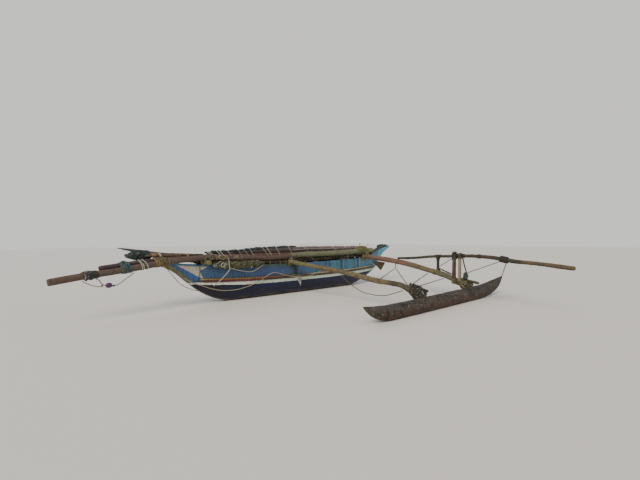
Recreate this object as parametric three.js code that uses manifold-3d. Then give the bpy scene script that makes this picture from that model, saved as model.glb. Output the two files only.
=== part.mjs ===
// Outrigger canoe: a hollowed log with raised side planks, two lashed booms and a solid float.
// Units are millimetres. +X runs along the hull, the float lies at -Y and +Z is up.
// The origin is the middle of the hull's flat bottom, on the ground.

import * as THREE from 'three';
import { mergeVertices } from 'three/addons/utils/BufferGeometryUtils.js';
import Module from 'manifold-3d';

const wasm = await Module();
wasm.setup();

// Driving dimensions of the hull
const gap = 0.4;              // left between pieces that touch
const logNear = -3620;        // ends of the hollowed log
const logFar = 3560;
const flatNear = -2430;       // ends of the log's flat bottom
const flatFar = 2050;
const lipHeight = 455;        // top of the log amidships, where the planks stand
const sheerHeight = 870;      // top of the planks amidships
const headNear = -5080;       // tips of the raised heads
const headFar = 4420;
const seamNear = -3400;       // where one plank ends and the next begins
const seamFar = 1100;
const plankThick = 30;
const boardThick = 34;        // raked board that closes each end
const deckThick = 26;

// Driving dimensions of the rig
const floatY = -4523;         // centre line of the float
const floatHalf = 160;        // half its breadth
const crutchX = -3300;        // cross pole that carries the stowed spars
const crutchRadius = 59;
const railRadius = 32;
const thwartThick = 30;
const thwartBreadth = 110;
const stayRadius = 9;

const power = (value, exponent) => Math.pow(Math.max(value, 0), exponent);

// Height of a table of x, z points at x, or nothing outside it
function heightOn(table, x) {
  for (let i = 1; i < table.length; i++) {
    const [x0, z0] = table[i - 1];
    const [x1, z1] = table[i];
    if (x >= x0 && x <= x1) return z0 + (z1 - z0) * (x - x0) / (x1 - x0);
  }
  return -Infinity;
}

// Stations that the long pieces of the hull share, so that their faces keep an even gap
const hullX = [
  -5200, headNear, -4840, -4600, -4380, -4160, -3960, -3760, -3650, seamNear, -3100, -2800, flatNear, -1900,
  -1200, -500, 400, seamFar, flatFar, 2600, 3000, 3300, 3590, 3700, 3850, 4000, 4140, headFar, 4600,
];
const between = (from, to) => [from, ...hullX.filter(x => x > from && x < to), to];

function straightened(curve) {
  const table = hullX.map(x => [x, curve(x)]);
  return x => heightOn(table, x);
}

// Shape of the hull along its length
const keelZ = x => 370 * power((flatNear - x) / 1020, 1.9) + 450 * power((x - flatFar) / 1400, 1.5);
const lipZ = straightened(x => lipHeight + 85 * power(Math.abs(x) / 3450, 2.5));
const fullness = straightened(x => Math.max(1 - 0.7 * power(Math.abs(x) / 3600, 4), 0.25));
const riseNear = x => 110 * power(-x / 3450, 2) + 172 * power((-x - 3450) / 1630, 2);
const riseFar = x =>
  60 * power(x / 3450, 2) + 320 * (1 - power((headFar - Math.max(x, 3050)) / 1370, 2));
const sheerZ = straightened(x => sheerHeight + riseNear(x) + riseFar(x));
const lowHalf = straightened(x => Math.max(188 * fullness(x) - 8, 60));
const topHalf = straightened(x => 185 - 110 * power(Math.abs(x) / 4900, 2.5));

// Raked edge of the planks at each end: x, z
const rakeNear = [[-5080, 1245], [-4600, 1110], [-4160, 940], [-3960, 820], [-3760, 655], [-3650, 565]];
const rakeFar = [[3590, 560], [3700, 715], [3850, 900], [4140, 1120], [4420, 1250]];

const plankFoot = x => Math.max(lipZ(x) + gap, heightOn(rakeNear, x), heightOn(rakeFar, x));
const plankFace = (x, z) =>
  THREE.MathUtils.mapLinear(z, plankFoot(x), sheerZ(x), lowHalf(x), topHalf(x));

// A closed solid through rings of points, each ring in the same order and with flat ends
function loft(rings) {
  const count = rings[0].length;
  const positions = [];
  const index = [];
  rings.forEach(ring => ring.forEach(p => positions.push(p.x, p.y, p.z)));
  for (let r = 0; r + 1 < rings.length; r++) {
    for (let i = 0; i < count; i++) {
      const a = r * count + i;
      const b = r * count + (i + 1) % count;
      index.push(a, b, a + count, b, b + count, a + count);
    }
  }
  const ends = [[rings[0], 0, true], [rings.at(-1), (rings.length - 1) * count, false]];
  for (const [ring, start, flip] of ends) {
    const middle = ring.reduce((sum, p) => sum.add(p), new THREE.Vector3()).divideScalar(count);
    const centre = positions.length / 3;
    positions.push(middle.x, middle.y, middle.z);
    for (let i = 0; i < count; i++) {
      const a = start + i;
      const b = start + (i + 1) % count;
      index.push(...(flip ? [b, a, centre] : [a, b, centre]));
    }
  }
  const geometry = new THREE.BufferGeometry();
  geometry.setAttribute('position', new THREE.Float32BufferAttribute(positions, 3));
  geometry.setIndex(index);
  return facingOut(geometry);
}

// Turns the triangles round where the solid is inside out
function facingOut(geometry) {
  const p = geometry.getAttribute('position');
  const index = geometry.getIndex().array;
  const [a, b, c] = [new THREE.Vector3(), new THREE.Vector3(), new THREE.Vector3()];
  let volume = 0;
  for (let i = 0; i < index.length; i += 3) {
    a.fromBufferAttribute(p, index[i]);
    b.fromBufferAttribute(p, index[i + 1]);
    c.fromBufferAttribute(p, index[i + 2]);
    volume += a.dot(b.cross(c));
  }
  if (volume < 0) {
    for (let i = 0; i < index.length; i += 3) [index[i], index[i + 1]] = [index[i + 1], index[i]];
  }
  return geometry;
}

function solid(geometry) {
  const plain = geometry.clone();
  plain.deleteAttribute('normal');
  plain.deleteAttribute('uv');
  const merged = mergeVertices(plain, 1e-3);
  return new wasm.Manifold(new wasm.Mesh({
    numProp: 3,
    vertProperties: new Float32Array(merged.getAttribute('position').array),
    triVerts: new Uint32Array(merged.getIndex().array),
  }));
}

function geometryOf(manifold) {
  const mesh = manifold.getMesh();
  const geometry = new THREE.BufferGeometry();
  geometry.setAttribute('position', new THREE.Float32BufferAttribute(mesh.vertProperties, 3));
  geometry.setIndex(new THREE.Uint32BufferAttribute(mesh.triVerts, 1));
  return geometry;
}

// The largest piece of a solid after its neighbours are cut out of it
function cut(geometry, ...neighbours) {
  const left = neighbours.reduce((body, n) => body.subtract(solid(n)), solid(geometry));
  const pieces = left.decompose().sort((a, b) => b.volume() - a.volume());
  return geometryOf(pieces[0]);
}

// Points of a path of x, y, z, radius rows, smoothed, as many as steps + 1. A fifth number widens it
function stations(path, steps) {
  const curve = new THREE.CatmullRomCurve3(path.map(([x, y, z]) => new THREE.Vector3(x, y, z)));
  return Array.from({ length: steps + 1 }, (_, i) => {
    const t = i / steps;
    const place = t * (path.length - 1);
    const row = Math.min(Math.floor(place), path.length - 2);
    const radius = THREE.MathUtils.lerp(path[row][3], path[row + 1][3], place - row);
    const width = THREE.MathUtils.lerp(path[row][4] ?? 1, path[row + 1][4] ?? 1, place - row);
    return { point: curve.getPoint(t), tangent: curve.getTangent(t), radius, width };
  });
}

// A round timber along a path, grown all round by extra
function pole(path, { steps = path.length - 1, sides = 10, extra = 0 } = {}) {
  return loft(stations(path, steps).map(({ point, tangent, radius, width }, i) => {
    point.addScaledVector(tangent, i === 0 ? -extra : i === steps ? extra : 0);
    const up = Math.abs(tangent.z) > 0.8 ? new THREE.Vector3(1, 0, 0) : new THREE.Vector3(0, 0, 1);
    const side = new THREE.Vector3().crossVectors(tangent, up).normalize();
    const top = new THREE.Vector3().crossVectors(side, tangent).normalize();
    return Array.from({ length: sides }, (_, i) => {
      const angle = 2 * Math.PI * (i + 0.5) / sides;
      return point.clone()
        .addScaledVector(side, (radius * width + extra) * Math.cos(angle))
        .addScaledVector(top, (radius + extra) * Math.sin(angle));
    });
  }));
}

// Where a path's centre line is at a given x or y, with its radius
const atX = (path, x) => pointAt(path, 0, x);
const atY = (path, y) => pointAt(path, 1, y);

function pointAt(path, axis, value) {
  for (let i = 1; i < path.length; i++) {
    const [from, to] = [path[i - 1], path[i]];
    const share = (value - from[axis]) / (to[axis] - from[axis]);
    if (share >= 0 && share <= 1) return to.map((end, k) => from[k] + (end - from[k]) * share);
  }
  throw new Error(`the path does not reach ${value}`);
}

// A rounded lump of rope or net
function lump([x, y, z], [rx, ry, rz]) {
  return new THREE.SphereGeometry(1, 14, 9).rotateX(Math.PI / 2).scale(rx, ry, rz).translate(x, y, z);
}

// A free rope of constant thickness through a list of x, y, z points
function rope(points, radius = ropeRadius, sides = 8) {
  const curve = new THREE.CatmullRomCurve3(points.map(p => new THREE.Vector3(...p)));
  const section = new THREE.Shape(Array.from({ length: sides }, (_, i) => {
    const angle = 2 * Math.PI * i / sides;
    return new THREE.Vector2(radius * Math.cos(angle), radius * Math.sin(angle));
  }));
  const steps = Math.min(80, Math.round(curve.getLength() / (ropeRadius * 6)));
  return new THREE.ExtrudeGeometry(section, { steps, extrudePath: curve, curveSegments: 1 });
}

const v = (x, y, z) => new THREE.Vector3(x, y, z);

// The hollowed log. Outer and inner half sections: half breadth amidships, share of the height
const logOuter = [[95, 0], [185, 0.11], [248, 0.34], [262, 0.56], [242, 0.8], [205, 1]];
const logInner = [[70, 0.2], [150, 0.27], [206, 0.5], [194, 0.8], [148, 1], [148, 1.25]];

function logRing(profile, x, scale = 1) {
  const low = keelZ(x);
  const high = lipZ(x) - low;
  const half = profile.map(([y, h]) => v(x, y * fullness(x) * scale, low + h * high));
  return [...half, ...half.map(p => v(p.x, -p.y, p.z)).reverse()];
}

function hollowLog() {
  const innerX = between(-3200, 3140);
  const outer = loft(between(logNear, logFar).map(x => logRing(logOuter, x)));
  const inner = loft(innerX.map((x, i) => {
    const atEnd = i === 0 || i === innerX.length - 1;
    return logRing(logInner, x, atEnd ? 0.6 : 1);
  }));
  return cut(outer, inner);
}

// A plank on one side, with stations along x; side is -1 towards the float and 1 away from it
function plank(side, stationsX) {
  return loft(stationsX.map(x => {
    const [low, top] = [lowHalf(x), topHalf(x)];
    return [
      v(x, side * low, plankFoot(x)),
      v(x, side * top, sheerZ(x)),
      v(x, side * (top - plankThick), sheerZ(x)),
      v(x, side * (low - plankThick), plankFoot(x)),
    ];
  }));
}

const plankStations = {
  near: between(headNear, seamNear - gap),
  mid: between(seamNear, seamFar - gap),
  far: between(seamFar, headFar),
};

// The raked board that closes an end, lying on the planks' raked edges
function endBoard(rake) {
  return loft(rake.map(([x, z], i) => {
    const [x0, z0] = rake[Math.max(i - 1, 0)];
    const [x1, z1] = rake[Math.min(i + 1, rake.length - 1)];
    const length = Math.hypot(x1 - x0, z1 - z0);
    const outX = (z1 - z0) / length;
    const outZ = -Math.abs(x1 - x0) / length;
    const half = lowHalf(x) + 7;
    return [[gap, -half], [gap, half], [boardThick, half - 12], [boardThick, -(half - 12)]]
      .map(([depth, y]) => v(x + outX * depth, y, z + outZ * depth));
  }));
}

// Deck and solid head block between the planks of one end
function breasthook(stationsX, solidBeyond) {
  return loft(stationsX.map(x => {
    const inset = plankThick + 6;
    const blocked = Math.abs(x) >= solidBeyond;
    const low = blocked ? plankFoot(x) : sheerZ(x) - deckThick;
    const lowWidth = plankFace(x, low) - inset;
    const topWidth = topHalf(x) - inset;
    const high = sheerZ(x);
    return [v(x, -lowWidth, low), v(x, lowWidth, low), v(x, topWidth, high), v(x, -topWidth, high)];
  }));
}

// Batten over the sewn seam between log and planks: an upright oval
function batten(side) {
  const halfThick = 23;
  const halfTall = 46;
  return loft(between(-3500, 3450).map(x => Array.from({ length: 8 }, (_, i) => {
    const angle = 2 * Math.PI * (i + 0.5) / 8;
    const z = lipZ(x) + halfTall * (1 + Math.sin(angle));
    return v(x, side * (plankFace(x, z) + 3 + halfThick * (1 + Math.cos(angle))), z);
  })));
}

// Rail pole over the planks' top edge, carried by the first thwart, up to the near boom
function railPath(side) {
  const lift = thwartThick + 5 + railRadius;
  return between(-2500, -690)
    .map(x => [x, side * (topHalf(x) - plankThick / 2), sheerZ(x) + lift, railRadius]);
}

function thwart(x) {
  const high = Math.max(sheerZ(x - thwartBreadth / 2), sheerZ(x + thwartBreadth / 2));
  return new THREE.BoxGeometry(thwartBreadth, 2 * topHalf(x), thwartThick)
    .translate(x, 0, high + gap + thwartThick / 2);
}

// The float. Rows: x, underside, top, share of the breadth
const floatTable = [
  [-2510, 345, 362, 0.06], [-2400, 250, 352, 0.26], [-2250, 140, 340, 0.5], [-2050, 50, 322, 0.75],
  [-1800, 0, 306, 0.92], [-1100, 0, 300, 1], [-200, 0, 312, 1], [700, 0, 322, 1],
  [1600, 0, 335, 0.97], [2350, 0, 350, 0.86], [2900, 35, 400, 0.66], [3300, 115, 445, 0.46],
  [3600, 245, 475, 0.25], [3800, 440, 487, 0.06],
];
const floatSection = [[0.36, 0], [0.74, 0.1], [0.97, 0.34], [1, 0.6], [0.76, 0.88], [0.32, 1]];

function floatLog(extra = 0) {
  return loft(floatTable.map(([x, low, top, share]) => {
    const tall = top - low + 2 * extra;
    const half = floatSection.map(([y, h]) => [y * floatHalf * share + extra, low - extra + h * tall]);
    return [
      ...half.map(([y, z]) => v(x, floatY + y, z)),
      ...half.map(([y, z]) => v(x, floatY - y, z)).reverse(),
    ];
  }));
}

// Timbers. Rows: x, y, z, radius
const nearBoomPath = [
  [-614, 430, 958, 58], [-606, 200, 945, 62], [-598, -200, 940, 64], [-582, -480, 902, 60],
  [-550, -1070, 840, 58], [-530, -1690, 784, 62], [-512, -2120, 746, 61], [-500, -2530, 696, 62],
  [-482, -2920, 636, 69], [-470, -3290, 584, 68], [-452, -3650, 564, 58], [-446, -3860, 554, 58],
  [-440, -3990, 530, 62], [-436, -4090, 486, 64], [-431, -4190, 424, 62], [-428, -4290, 372, 58],
  [-422, -4420, 338, 52], [-418, -4560, 330, 44],
];
const farBoomPath = [
  [2955, 430, 1000, 62], [2885, 200, 990, 68], [2790, -200, 984, 72], [2730, -460, 950, 76],
  [2650, -720, 934, 80], [2500, -1350, 905, 83], [2390, -1770, 872, 82], [2310, -2110, 842, 80],
  [2230, -2440, 803, 78], [2150, -2750, 757, 74], [2080, -3050, 706, 71], [2010, -3340, 665, 71],
  [1940, -3610, 622, 73], [1880, -3870, 562, 74], [1820, -4120, 472, 68], [1785, -4290, 406, 60],
  [1725, -4560, 352, 48],
];
const outboardPolePath = [
  [2362, -1910, 972, 31], [2270, -2280, 990, 36], [2150, -2750, 1022, 38], [2050, -3200, 1074, 38],
  [1940, -3610, 1098, 38], [1880, -3870, 1114, 38], [1790, -4200, 1132, 40], [1730, -4480, 1144, 43],
  [1680, -4710, 1146, 44], [1620, -4930, 1144, 45], [1555, -5200, 1132, 46], [1480, -5490, 1104, 50],
  [1430, -5720, 1068, 50], [1360, -6010, 1058, 46], [1290, -6280, 1048, 45], [1230, -6540, 1030, 46],
  [1170, -6790, 1008, 47], [1110, -7030, 993, 46],
];
const longSparPath = [
  [-6610, -360, 812, 70], [-6060, -345, 886, 70], [-5600, -330, 928, 66], [-5100, -315, 984, 70],
  [-4330, -290, 1082, 70], [-3850, -272, 1126, 68], [crutchX, -252, 1157, 63], [-2770, -240, 1128, 62],
  [-2320, -232, 1108, 62], [-1900, -224, 1092, 63], [-1480, -214, 1073, 64], [-1110, -208, 1069, 64],
  [-700, -202, 1089, 66], [-200, -194, 1117, 74], [400, -184, 1114, 78], [1600, -170, 1117, 84],
  [2790, -155, 1145, 87], [3280, -152, 1164, 85],
];
const innerSparPath = [
  [-5690, -222, 1014, 56], [-5100, -198, 1078, 54], [-4600, -176, 1122, 53], [-4000, -142, 1146, 54],
  [crutchX, -85, 1146, 55], [-600, -66, 1132, 54], [2870, -14, 1108, 48], [3300, -8, 1106, 46],
];
const outerSparPath = [
  [-3900, 112, 1144, 46], [crutchX, 116, 1141, 50], [-600, 132, 1130, 50], [2880, 176, 1110, 48],
  [3480, 184, 1108, 46],
];
const crutchPath = [-430, -140, 140, 340]
  .map(y => [crutchX, y, sheerZ(crutchX) + crutchRadius + gap, crutchRadius]);

// Unit step in plan from the far boom's line towards the near end of the canoe
const boomSide = new THREE.Vector2(-4980, 1225).normalize();

// A point beside a timber at a given y: its centre moved sideways by its radius and more
function beside(path, y, reach, z) {
  const [x, , height, radius] = atY(path, y);
  const step = Math.sign(reach) * (radius + Math.abs(reach));
  return [x + boomSide.x * step, y + boomSide.y * step, z ?? height];
}

// Posts that carry the outboard pole. Rows: name, y, radius, foot, top, side of the boom (0 stands on it)
const postTable = [
  ['post_inner', -3510, 36, 719, 1051, 0],
  ['post_main', -4148, 50, 420, 1250, 1],
  ['post_back', -4313, 40, 474, 1206, 1],
];

function postPath([, y, radius, foot, top, side]) {
  const reach = side * (radius + 3);
  const end = (timber, z) => side === 0 ? [atY(timber, y)[0], y, z] : beside(timber, y, reach, z);
  return [[...end(farBoomPath, foot), radius], [...end(outboardPolePath, top), radius]];
}

const postPaths = Object.fromEntries(postTable.map(row => [row[0], postPath(row)]));
const strutPath = [[1920, -3570, 764, 19], [1822, -3985, 642, 19]];
const strapPath = [[1676, -4374, 1100, 18], [1668, -4425, 900, 17], [1650, -4500, 690, 18]];
const pegNearPath = [[-440, -4170, 560, 33], [-414, -4610, 452, 32]];
const pegFarPath = [[1768, -4300, 524, 38], [1652, -4800, 478, 37]];

// Triangular knee lashed under the far boom: y of its ends and its point, z
function boomKnee() {
  const outline = new THREE.Shape([
    new THREE.Vector2(-725, 0), new THREE.Vector2(-1250, -44), new THREE.Vector2(-1085, -300),
  ]);
  const [x, , z, radius] = atY(farBoomPath, -900);
  return new THREE.ExtrudeGeometry(outline, { depth: 56, bevelEnabled: false })
    .rotateX(Math.PI / 2).rotateZ(Math.PI / 2)
    .translate(x - 65, 0, z - radius - 6);
}

// Rolled sail in the groove between the two straight spars. Rows: x, radius
const rollTable = [
  [-3150, 32], [-3020, 46], [-2700, 52], [-2300, 60], [-1900, 72], [-1500, 82], [-800, 90], [0, 98],
  [1000, 99], [2000, 94], [2900, 90], [3180, 68], [3300, 38],
];

function sailRoll() {
  const path = rollTable.map(([x, radius]) => {
    const inner = atX(innerSparPath, x);
    const outer = atX(outerSparPath, x);
    const half = Math.hypot(outer[1] - inner[1], outer[2] - inner[2]) / 2;
    const reach = radius + Math.max(inner[3], outer[3]) + 12;
    const lift = Math.sqrt(Math.max(reach * reach - half * half, 0));
    return [x, (inner[1] + outer[1]) / 2, (inner[2] + outer[2]) / 2 + Math.max(lift, 78), radius];
  });
  return pole(path, { steps: 20, sides: 12 });
}

// Steering oar stowed over the near head: a flat blade and a round loom. Rows: x, y, z, half thick, width
const oarPath = [
  [-5262, 30, 1417, 7, 1.2], [-5120, 29, 1392, 11, 5], [-4860, 27, 1347, 14, 6.6],
  [-4500, 24, 1288, 15, 6.8], [-4250, 21, 1262, 17, 4], [-4050, 19, 1248, 21, 1.2],
  [-3600, 16, 1222, 21, 1], [-3240, 14, 1202, 20, 1],
];

// Nets and cordage heaped over the side near the crutch. Rows: x, y, z, half thick, half tall
const netTable = [
  [-3180, -238, 985, 16, 20], [-3060, -246, 960, 44, 74], [-2850, -252, 945, 58, 96],
  [-2600, -262, 930, 60, 104], [-2300, -268, 925, 58, 92], [-2000, -270, 920, 52, 100],
  [-1750, -268, 935, 46, 72], [-1560, -262, 955, 14, 18],
];

function netPile() {
  return loft(netTable.map(([x, y, z, thick, tall]) => Array.from({ length: 10 }, (_, i) => {
    const angle = 2 * Math.PI * (i + 0.5) / 10;
    return v(x, y + thick * Math.cos(angle), z + tall * Math.sin(angle));
  })));
}

// Outer envelope of a head with its end board, for fitting the nets tied round it
function headEnvelope(stationsX) {
  return loft(stationsX.map(x => {
    const low = plankFoot(x) - 1.5 * boardThick;
    const half = Math.max(lowHalf(x), topHalf(x)) + 9;
    return [v(x, -half, low), v(x, half, low), v(x, half, sheerZ(x) + 2), v(x, -half, sheerZ(x) + 2)];
  }));
}

// Free ropes. Rows: x, y, z
const slackLine = [
  [-510, -2170, 668], [-510, -2230, 596], [-510, -2400, 483], [-510, -2650, 357], [-510, -2890, 275],
  [-510, -3070, 254], [-510, -3300, 245], [-510, -3570, 272], [-510, -3800, 344], [-508, -3950, 396],
  [-505, -4030, 430],
];
const tipLine = [
  [-6040, -352, 800], [-5990, -362, 758], [-5920, -369, 721], [-5850, -372, 690], [-5760, -373, 668],
  [-5695, -373, 658],
];
const sparLoop = [
  [-5792, -348, 826], [-5768, -358, 812], [-5740, -368, 788], [-5700, -371, 730], [-5660, -372, 690],
  [-5615, -372, 668], [-5560, -372, 660], [-5490, -372, 656], [-5420, -370, 664], [-5320, -368, 712],
  [-5225, -364, 782], [-5115, -356, 852], [-5050, -350, 894],
];
const hullLine = [
  [-3820, -84, 691], [-3730, -96, 625], [-3620, -112, 559], [-3490, -132, 502], [-3360, -150, 456],
  [-3240, -168, 407], [-3130, -185, 369], [-2900, -218, 308], [-2740, -240, 292], [-2590, -258, 286],
  [-2380, -277, 298], [-2210, -288, 328], [-2090, -288, 350], [-1910, -288, 402], [-1720, -282, 458],
  [-1580, -264, 522], [-1440, -252, 588], [-1300, -250, 636], [-1180, -250, 651], [-990, -250, 602],
  [-830, -252, 556], [-570, -264, 500], [-430, -330, 478], [-408, -480, 482], [-420, -650, 506],
  [-440, -880, 545], [-452, -1040, 602], [-470, -1210, 660], [-482, -1330, 700], [-492, -1440, 730],
];
const stemLine = [
  [-4418, -356, 1010], [-4380, -338, 976], [-4300, -304, 915], [-4215, -278, 826], [-4095, -250, 690],
  [-3965, -225, 562], [-3800, -195, 462], [-3640, -165, 392], [-3520, -138, 356], [-3440, -105, 338],
  [-3395, -60, 320],
];
const hangLine = [
  [-2722, -326, 1066], [-2713, -336, 992], [-2708, -341, 900], [-2694, -341, 846], [-2800, -312, 700],
  [-2880, -288, 615], [-2960, -262, 533], [-3090, -222, 436],
];
const sideLine = [
  [-2655, -341, 850], [-2480, -341, 803], [-2300, -340, 764], [-2120, -336, 733], [-1980, -328, 740],
  [-1850, -314, 782], [-1730, -298, 836], [-1600, -262, 884], [-1520, -216, 914],
];
const ropeRadius = 10;

// Taut stays: between the booms and from the outboard pole to the float's far tip
function stay(from, to) {
  return pole([[...from, stayRadius], [...to, stayRadius]], { steps: 1, sides: 6 });
}

function besideNear(y, reach = stayRadius + 3) {
  const [x, , z, radius] = atY(nearBoomPath, y);
  return [x + radius + reach, y, z];
}

// Weathered paints and woods
const finishes = {
  navyPaint: [0x1b2440, 0.55], bluePaint: [0x2f4f86, 0.5], creamPaint: [0xcfc3ae, 0.6],
  skyPaint: [0x4f9bb8, 0.5], stemPaint: [0x8f8a3c, 0.7], redPaint: [0x7a3b24, 0.7],
  brownWood: [0x5b463a, 0.85], oliveWood: [0x77785c, 0.85], tanWood: [0x8b7355, 0.85],
  floatWood: [0x3c342e, 0.9], rope: [0xa8a078, 0.95], darkRope: [0x33352f, 0.95],
  tealNet: [0x4d6f6c, 0.95], netHeap: [0x5d5a44, 0.95], sailCloth: [0x4a3d38, 0.95],
  buoy: [0x4b2440, 0.45],
};
const materials = Object.fromEntries(Object.entries(finishes).map(([name, [color, roughness]]) =>
  [name, new THREE.MeshStandardMaterial({ name, color, roughness, metalness: 0 })]));

const canoe = new THREE.Group();

function add(name, geometry, finish) {
  const mesh = new THREE.Mesh(geometry, materials[finish]);
  mesh.name = name;
  canoe.add(mesh);
  return geometry;
}

// Hull
add('hollow_log', hollowLog(), 'navyPaint');
for (const [side, sign] of [['float_side', -1], ['off_side', 1]]) {
  add(`plank_near_${side}`, plank(sign, plankStations.near), 'creamPaint');
  add(`plank_mid_${side}`, plank(sign, plankStations.mid), 'bluePaint');
  add(`plank_far_${side}`, plank(sign, plankStations.far), 'skyPaint');
  add(`batten_${side}`, batten(sign), 'redPaint');
  add(`rail_${side}`, pole(railPath(sign), { sides: 8 }), 'brownWood');
}
add('end_board_near', endBoard(rakeNear), 'stemPaint');
add('end_board_far', endBoard(rakeFar), 'skyPaint');
const nearDeck = [headNear, -4840, -4600, -4590, -4380, -4160, -3960, -3860];
const farDeck = [3620, 3700, 3850, 4000, 4130, 4140, headFar];
add('breasthook_near', breasthook(nearDeck, 4600), 'brownWood');
add('breasthook_far', breasthook(farDeck, 4140), 'brownWood');
for (const [i, x] of [-1900, 500, 1700].entries()) add(`thwart_${i + 1}`, thwart(x), 'brownWood');
add('spar_crutch', pole(crutchPath), 'brownWood');

// Booms, float and what stands on them
const clearOf = (path, options = {}) => pole(path, { ...options, extra: gap });
const straight = { steps: 1, sides: 8 };
const railsClear = [-1, 1].map(sign => clearOf(railPath(sign), { sides: 8 }));
add('near_boom', cut(pole(nearBoomPath, { steps: 34 }), ...railsClear), 'tanWood');
add('far_boom', cut(pole(farBoomPath, { steps: 32 }), ...railsClear), 'tanWood');
const nearBoomClear = clearOf(nearBoomPath, { steps: 34 });
const farBoomClear = clearOf(farBoomPath, { steps: 32 });
const outboardClear = clearOf(outboardPolePath, { steps: 34 });
const floatClear = floatLog(2 * gap);
add('float', cut(floatLog(), nearBoomClear, farBoomClear), 'floatWood');
add('peg_near', pole(pegNearPath, straight), 'darkRope');
add('peg_far', pole(pegFarPath, straight), 'brownWood');
add('outboard_pole', pole(outboardPolePath, { steps: 34 }), 'brownWood');
for (const [name, path] of Object.entries(postPaths)) add(name, pole(path, straight), 'brownWood');
const postsClear = Object.values(postPaths).map(path => clearOf(path, straight));
add('post_strut', cut(pole(strutPath, straight), ...postsClear), 'brownWood');
add('post_strap', pole(strapPath, { sides: 8 }), 'darkRope');
add('boom_knee', boomKnee(), 'brownWood');

// Stowed spars, sail, oar and nets
add('long_spar', pole(longSparPath, { steps: 30 }), 'oliveWood');
add('inner_spar', pole(innerSparPath, { steps: 16 }), 'brownWood');
add('outer_spar', pole(outerSparPath, { steps: 8 }), 'brownWood');
add('sail_roll', sailRoll(), 'sailCloth');
add('steering_oar', pole(oarPath, { steps: 14, sides: 8 }), 'brownWood');
const sparsClear = [clearOf(longSparPath, { steps: 30 }), clearOf(innerSparPath, { steps: 16 })];
const oarClear = clearOf(oarPath, { steps: 14, sides: 8 });
add('net_heap', cut(netPile(), ...railsClear, ...sparsClear), 'netHeap');

// Lashings and nets: centre, half sizes, what is cut out of each
const netHeadClear = headEnvelope([headNear - 60, -4840, -4600, -4380]);
const sparHeadClear = headEnvelope([-4700, -4380, -4160, -3900]);
const farHeadClear = headEnvelope([3700, 3850, 4000, 4140, headFar, headFar + 60]);
const pegNearClear = clearOf(pegNearPath, straight);
const pegFarClear = clearOf(pegFarPath, straight);
const strapClear = clearOf(strapPath, { sides: 8 });
const farFootClear = [farBoomClear, floatClear, pegFarClear, ...postsClear];
const lashings = {
  head_net_near: [[-4800, 6, 1240], [290, 128, 122], [netHeadClear, oarClear, ...sparsClear]],
  head_net_far: [[4090, 0, 1276], [330, 118, 78], [farHeadClear]],
  spar_lashing_tip: [[-5930, -341, 900], [150, 94, 96], sparsClear],
  spar_lashing_mid: [[-5210, -262, 1016], [100, 142, 130], sparsClear],
  spar_lashing_head: [[-4400, -228, 1100], [150, 150, 108], [...sparsClear, sparHeadClear]],
  spar_lashing_far: [[2720, -160, 1176], [300, 122, 134], [...sparsClear, farBoomClear]],
  float_lashing_near: [[-424, -4400, 400], [104, 190, 126], [nearBoomClear, floatClear, pegNearClear]],
  float_lashing_far: [[1752, -4430, 408], [112, 190, 118], farFootClear],
  bundle_far: [[1664, -4462, 640], [64, 76, 98], [strapClear, ...postsClear, farBoomClear]],
};
const lashingFinish = {
  spar_lashing_tip: 'rope', spar_lashing_head: 'rope', spar_lashing_far: 'rope', float_lashing_far: 'rope',
  float_lashing_near: 'darkRope',
};
for (const [name, [centre, radii, neighbours]] of Object.entries(lashings)) {
  add(name, cut(lump(centre, radii), ...neighbours), lashingFinish[name] ?? 'tealNet');
}

// Rigging
const stays = {
  stay_inner: [besideNear(-3250), [2360, -1790, 640]],
  stay_middle: [besideNear(-4130), [2368, -1825, 634]],
  stay_outer: [besideNear(-4070), beside(farBoomPath, -3220, stayRadius + 3, 606)],
  boom_strop: [[2384, -1800, 782], [2384, -1805, 655]],
};
for (const [name, [from, to]] of Object.entries(stays)) add(name, stay(from, to), 'darkRope');
add('stay_tip', cut(stay([1468, -5566, 1060], [3700, -4560, 492]), outboardClear), 'darkRope');
const ropes = {
  slack_line: slackLine, tip_line: tipLine, spar_loop: sparLoop, hull_line: hullLine,
  stem_line: stemLine, hang_line: hangLine, side_line: sideLine,
};
for (const [name, route] of Object.entries(ropes)) add(name, rope(route), 'rope');
add('loop_buoy', cut(lump([-5560, -372, 676], [62, 56, 56]), rope(sparLoop, ropeRadius + gap)), 'buoy');

export default canoe;
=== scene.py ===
import math
import random

import bmesh
import bpy
import numpy as np
from mathutils import Matrix, Vector, noise
from mathutils.bvhtree import BVHTree


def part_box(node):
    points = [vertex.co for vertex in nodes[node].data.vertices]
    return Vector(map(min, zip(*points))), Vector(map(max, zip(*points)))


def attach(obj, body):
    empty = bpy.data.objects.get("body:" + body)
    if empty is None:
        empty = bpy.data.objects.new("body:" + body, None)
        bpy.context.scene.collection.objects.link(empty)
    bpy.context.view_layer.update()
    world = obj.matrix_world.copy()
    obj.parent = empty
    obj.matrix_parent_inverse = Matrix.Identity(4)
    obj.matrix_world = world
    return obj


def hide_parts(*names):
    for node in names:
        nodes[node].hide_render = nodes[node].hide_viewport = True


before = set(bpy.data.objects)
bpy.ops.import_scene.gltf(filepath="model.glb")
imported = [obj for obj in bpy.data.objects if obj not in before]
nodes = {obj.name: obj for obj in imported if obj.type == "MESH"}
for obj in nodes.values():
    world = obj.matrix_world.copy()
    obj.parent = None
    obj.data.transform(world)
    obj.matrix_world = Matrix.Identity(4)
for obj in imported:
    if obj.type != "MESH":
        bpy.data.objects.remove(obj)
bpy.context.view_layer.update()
print("frame loaded,", len(nodes), "nodes")

# Camera where the photograph was taken from: metres and degrees
photoCamera = dict(place=(-8.36, -9.3584, 1.6626), heading=-44.488, pitch=-0.537, roll=-0.183,
                   focalPixels=411.9, imageWidth=640, sensor=36)


def newObject(name, data):
    made = bpy.data.objects.new(name, data)
    bpy.context.scene.collection.objects.link(made)
    return made


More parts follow.
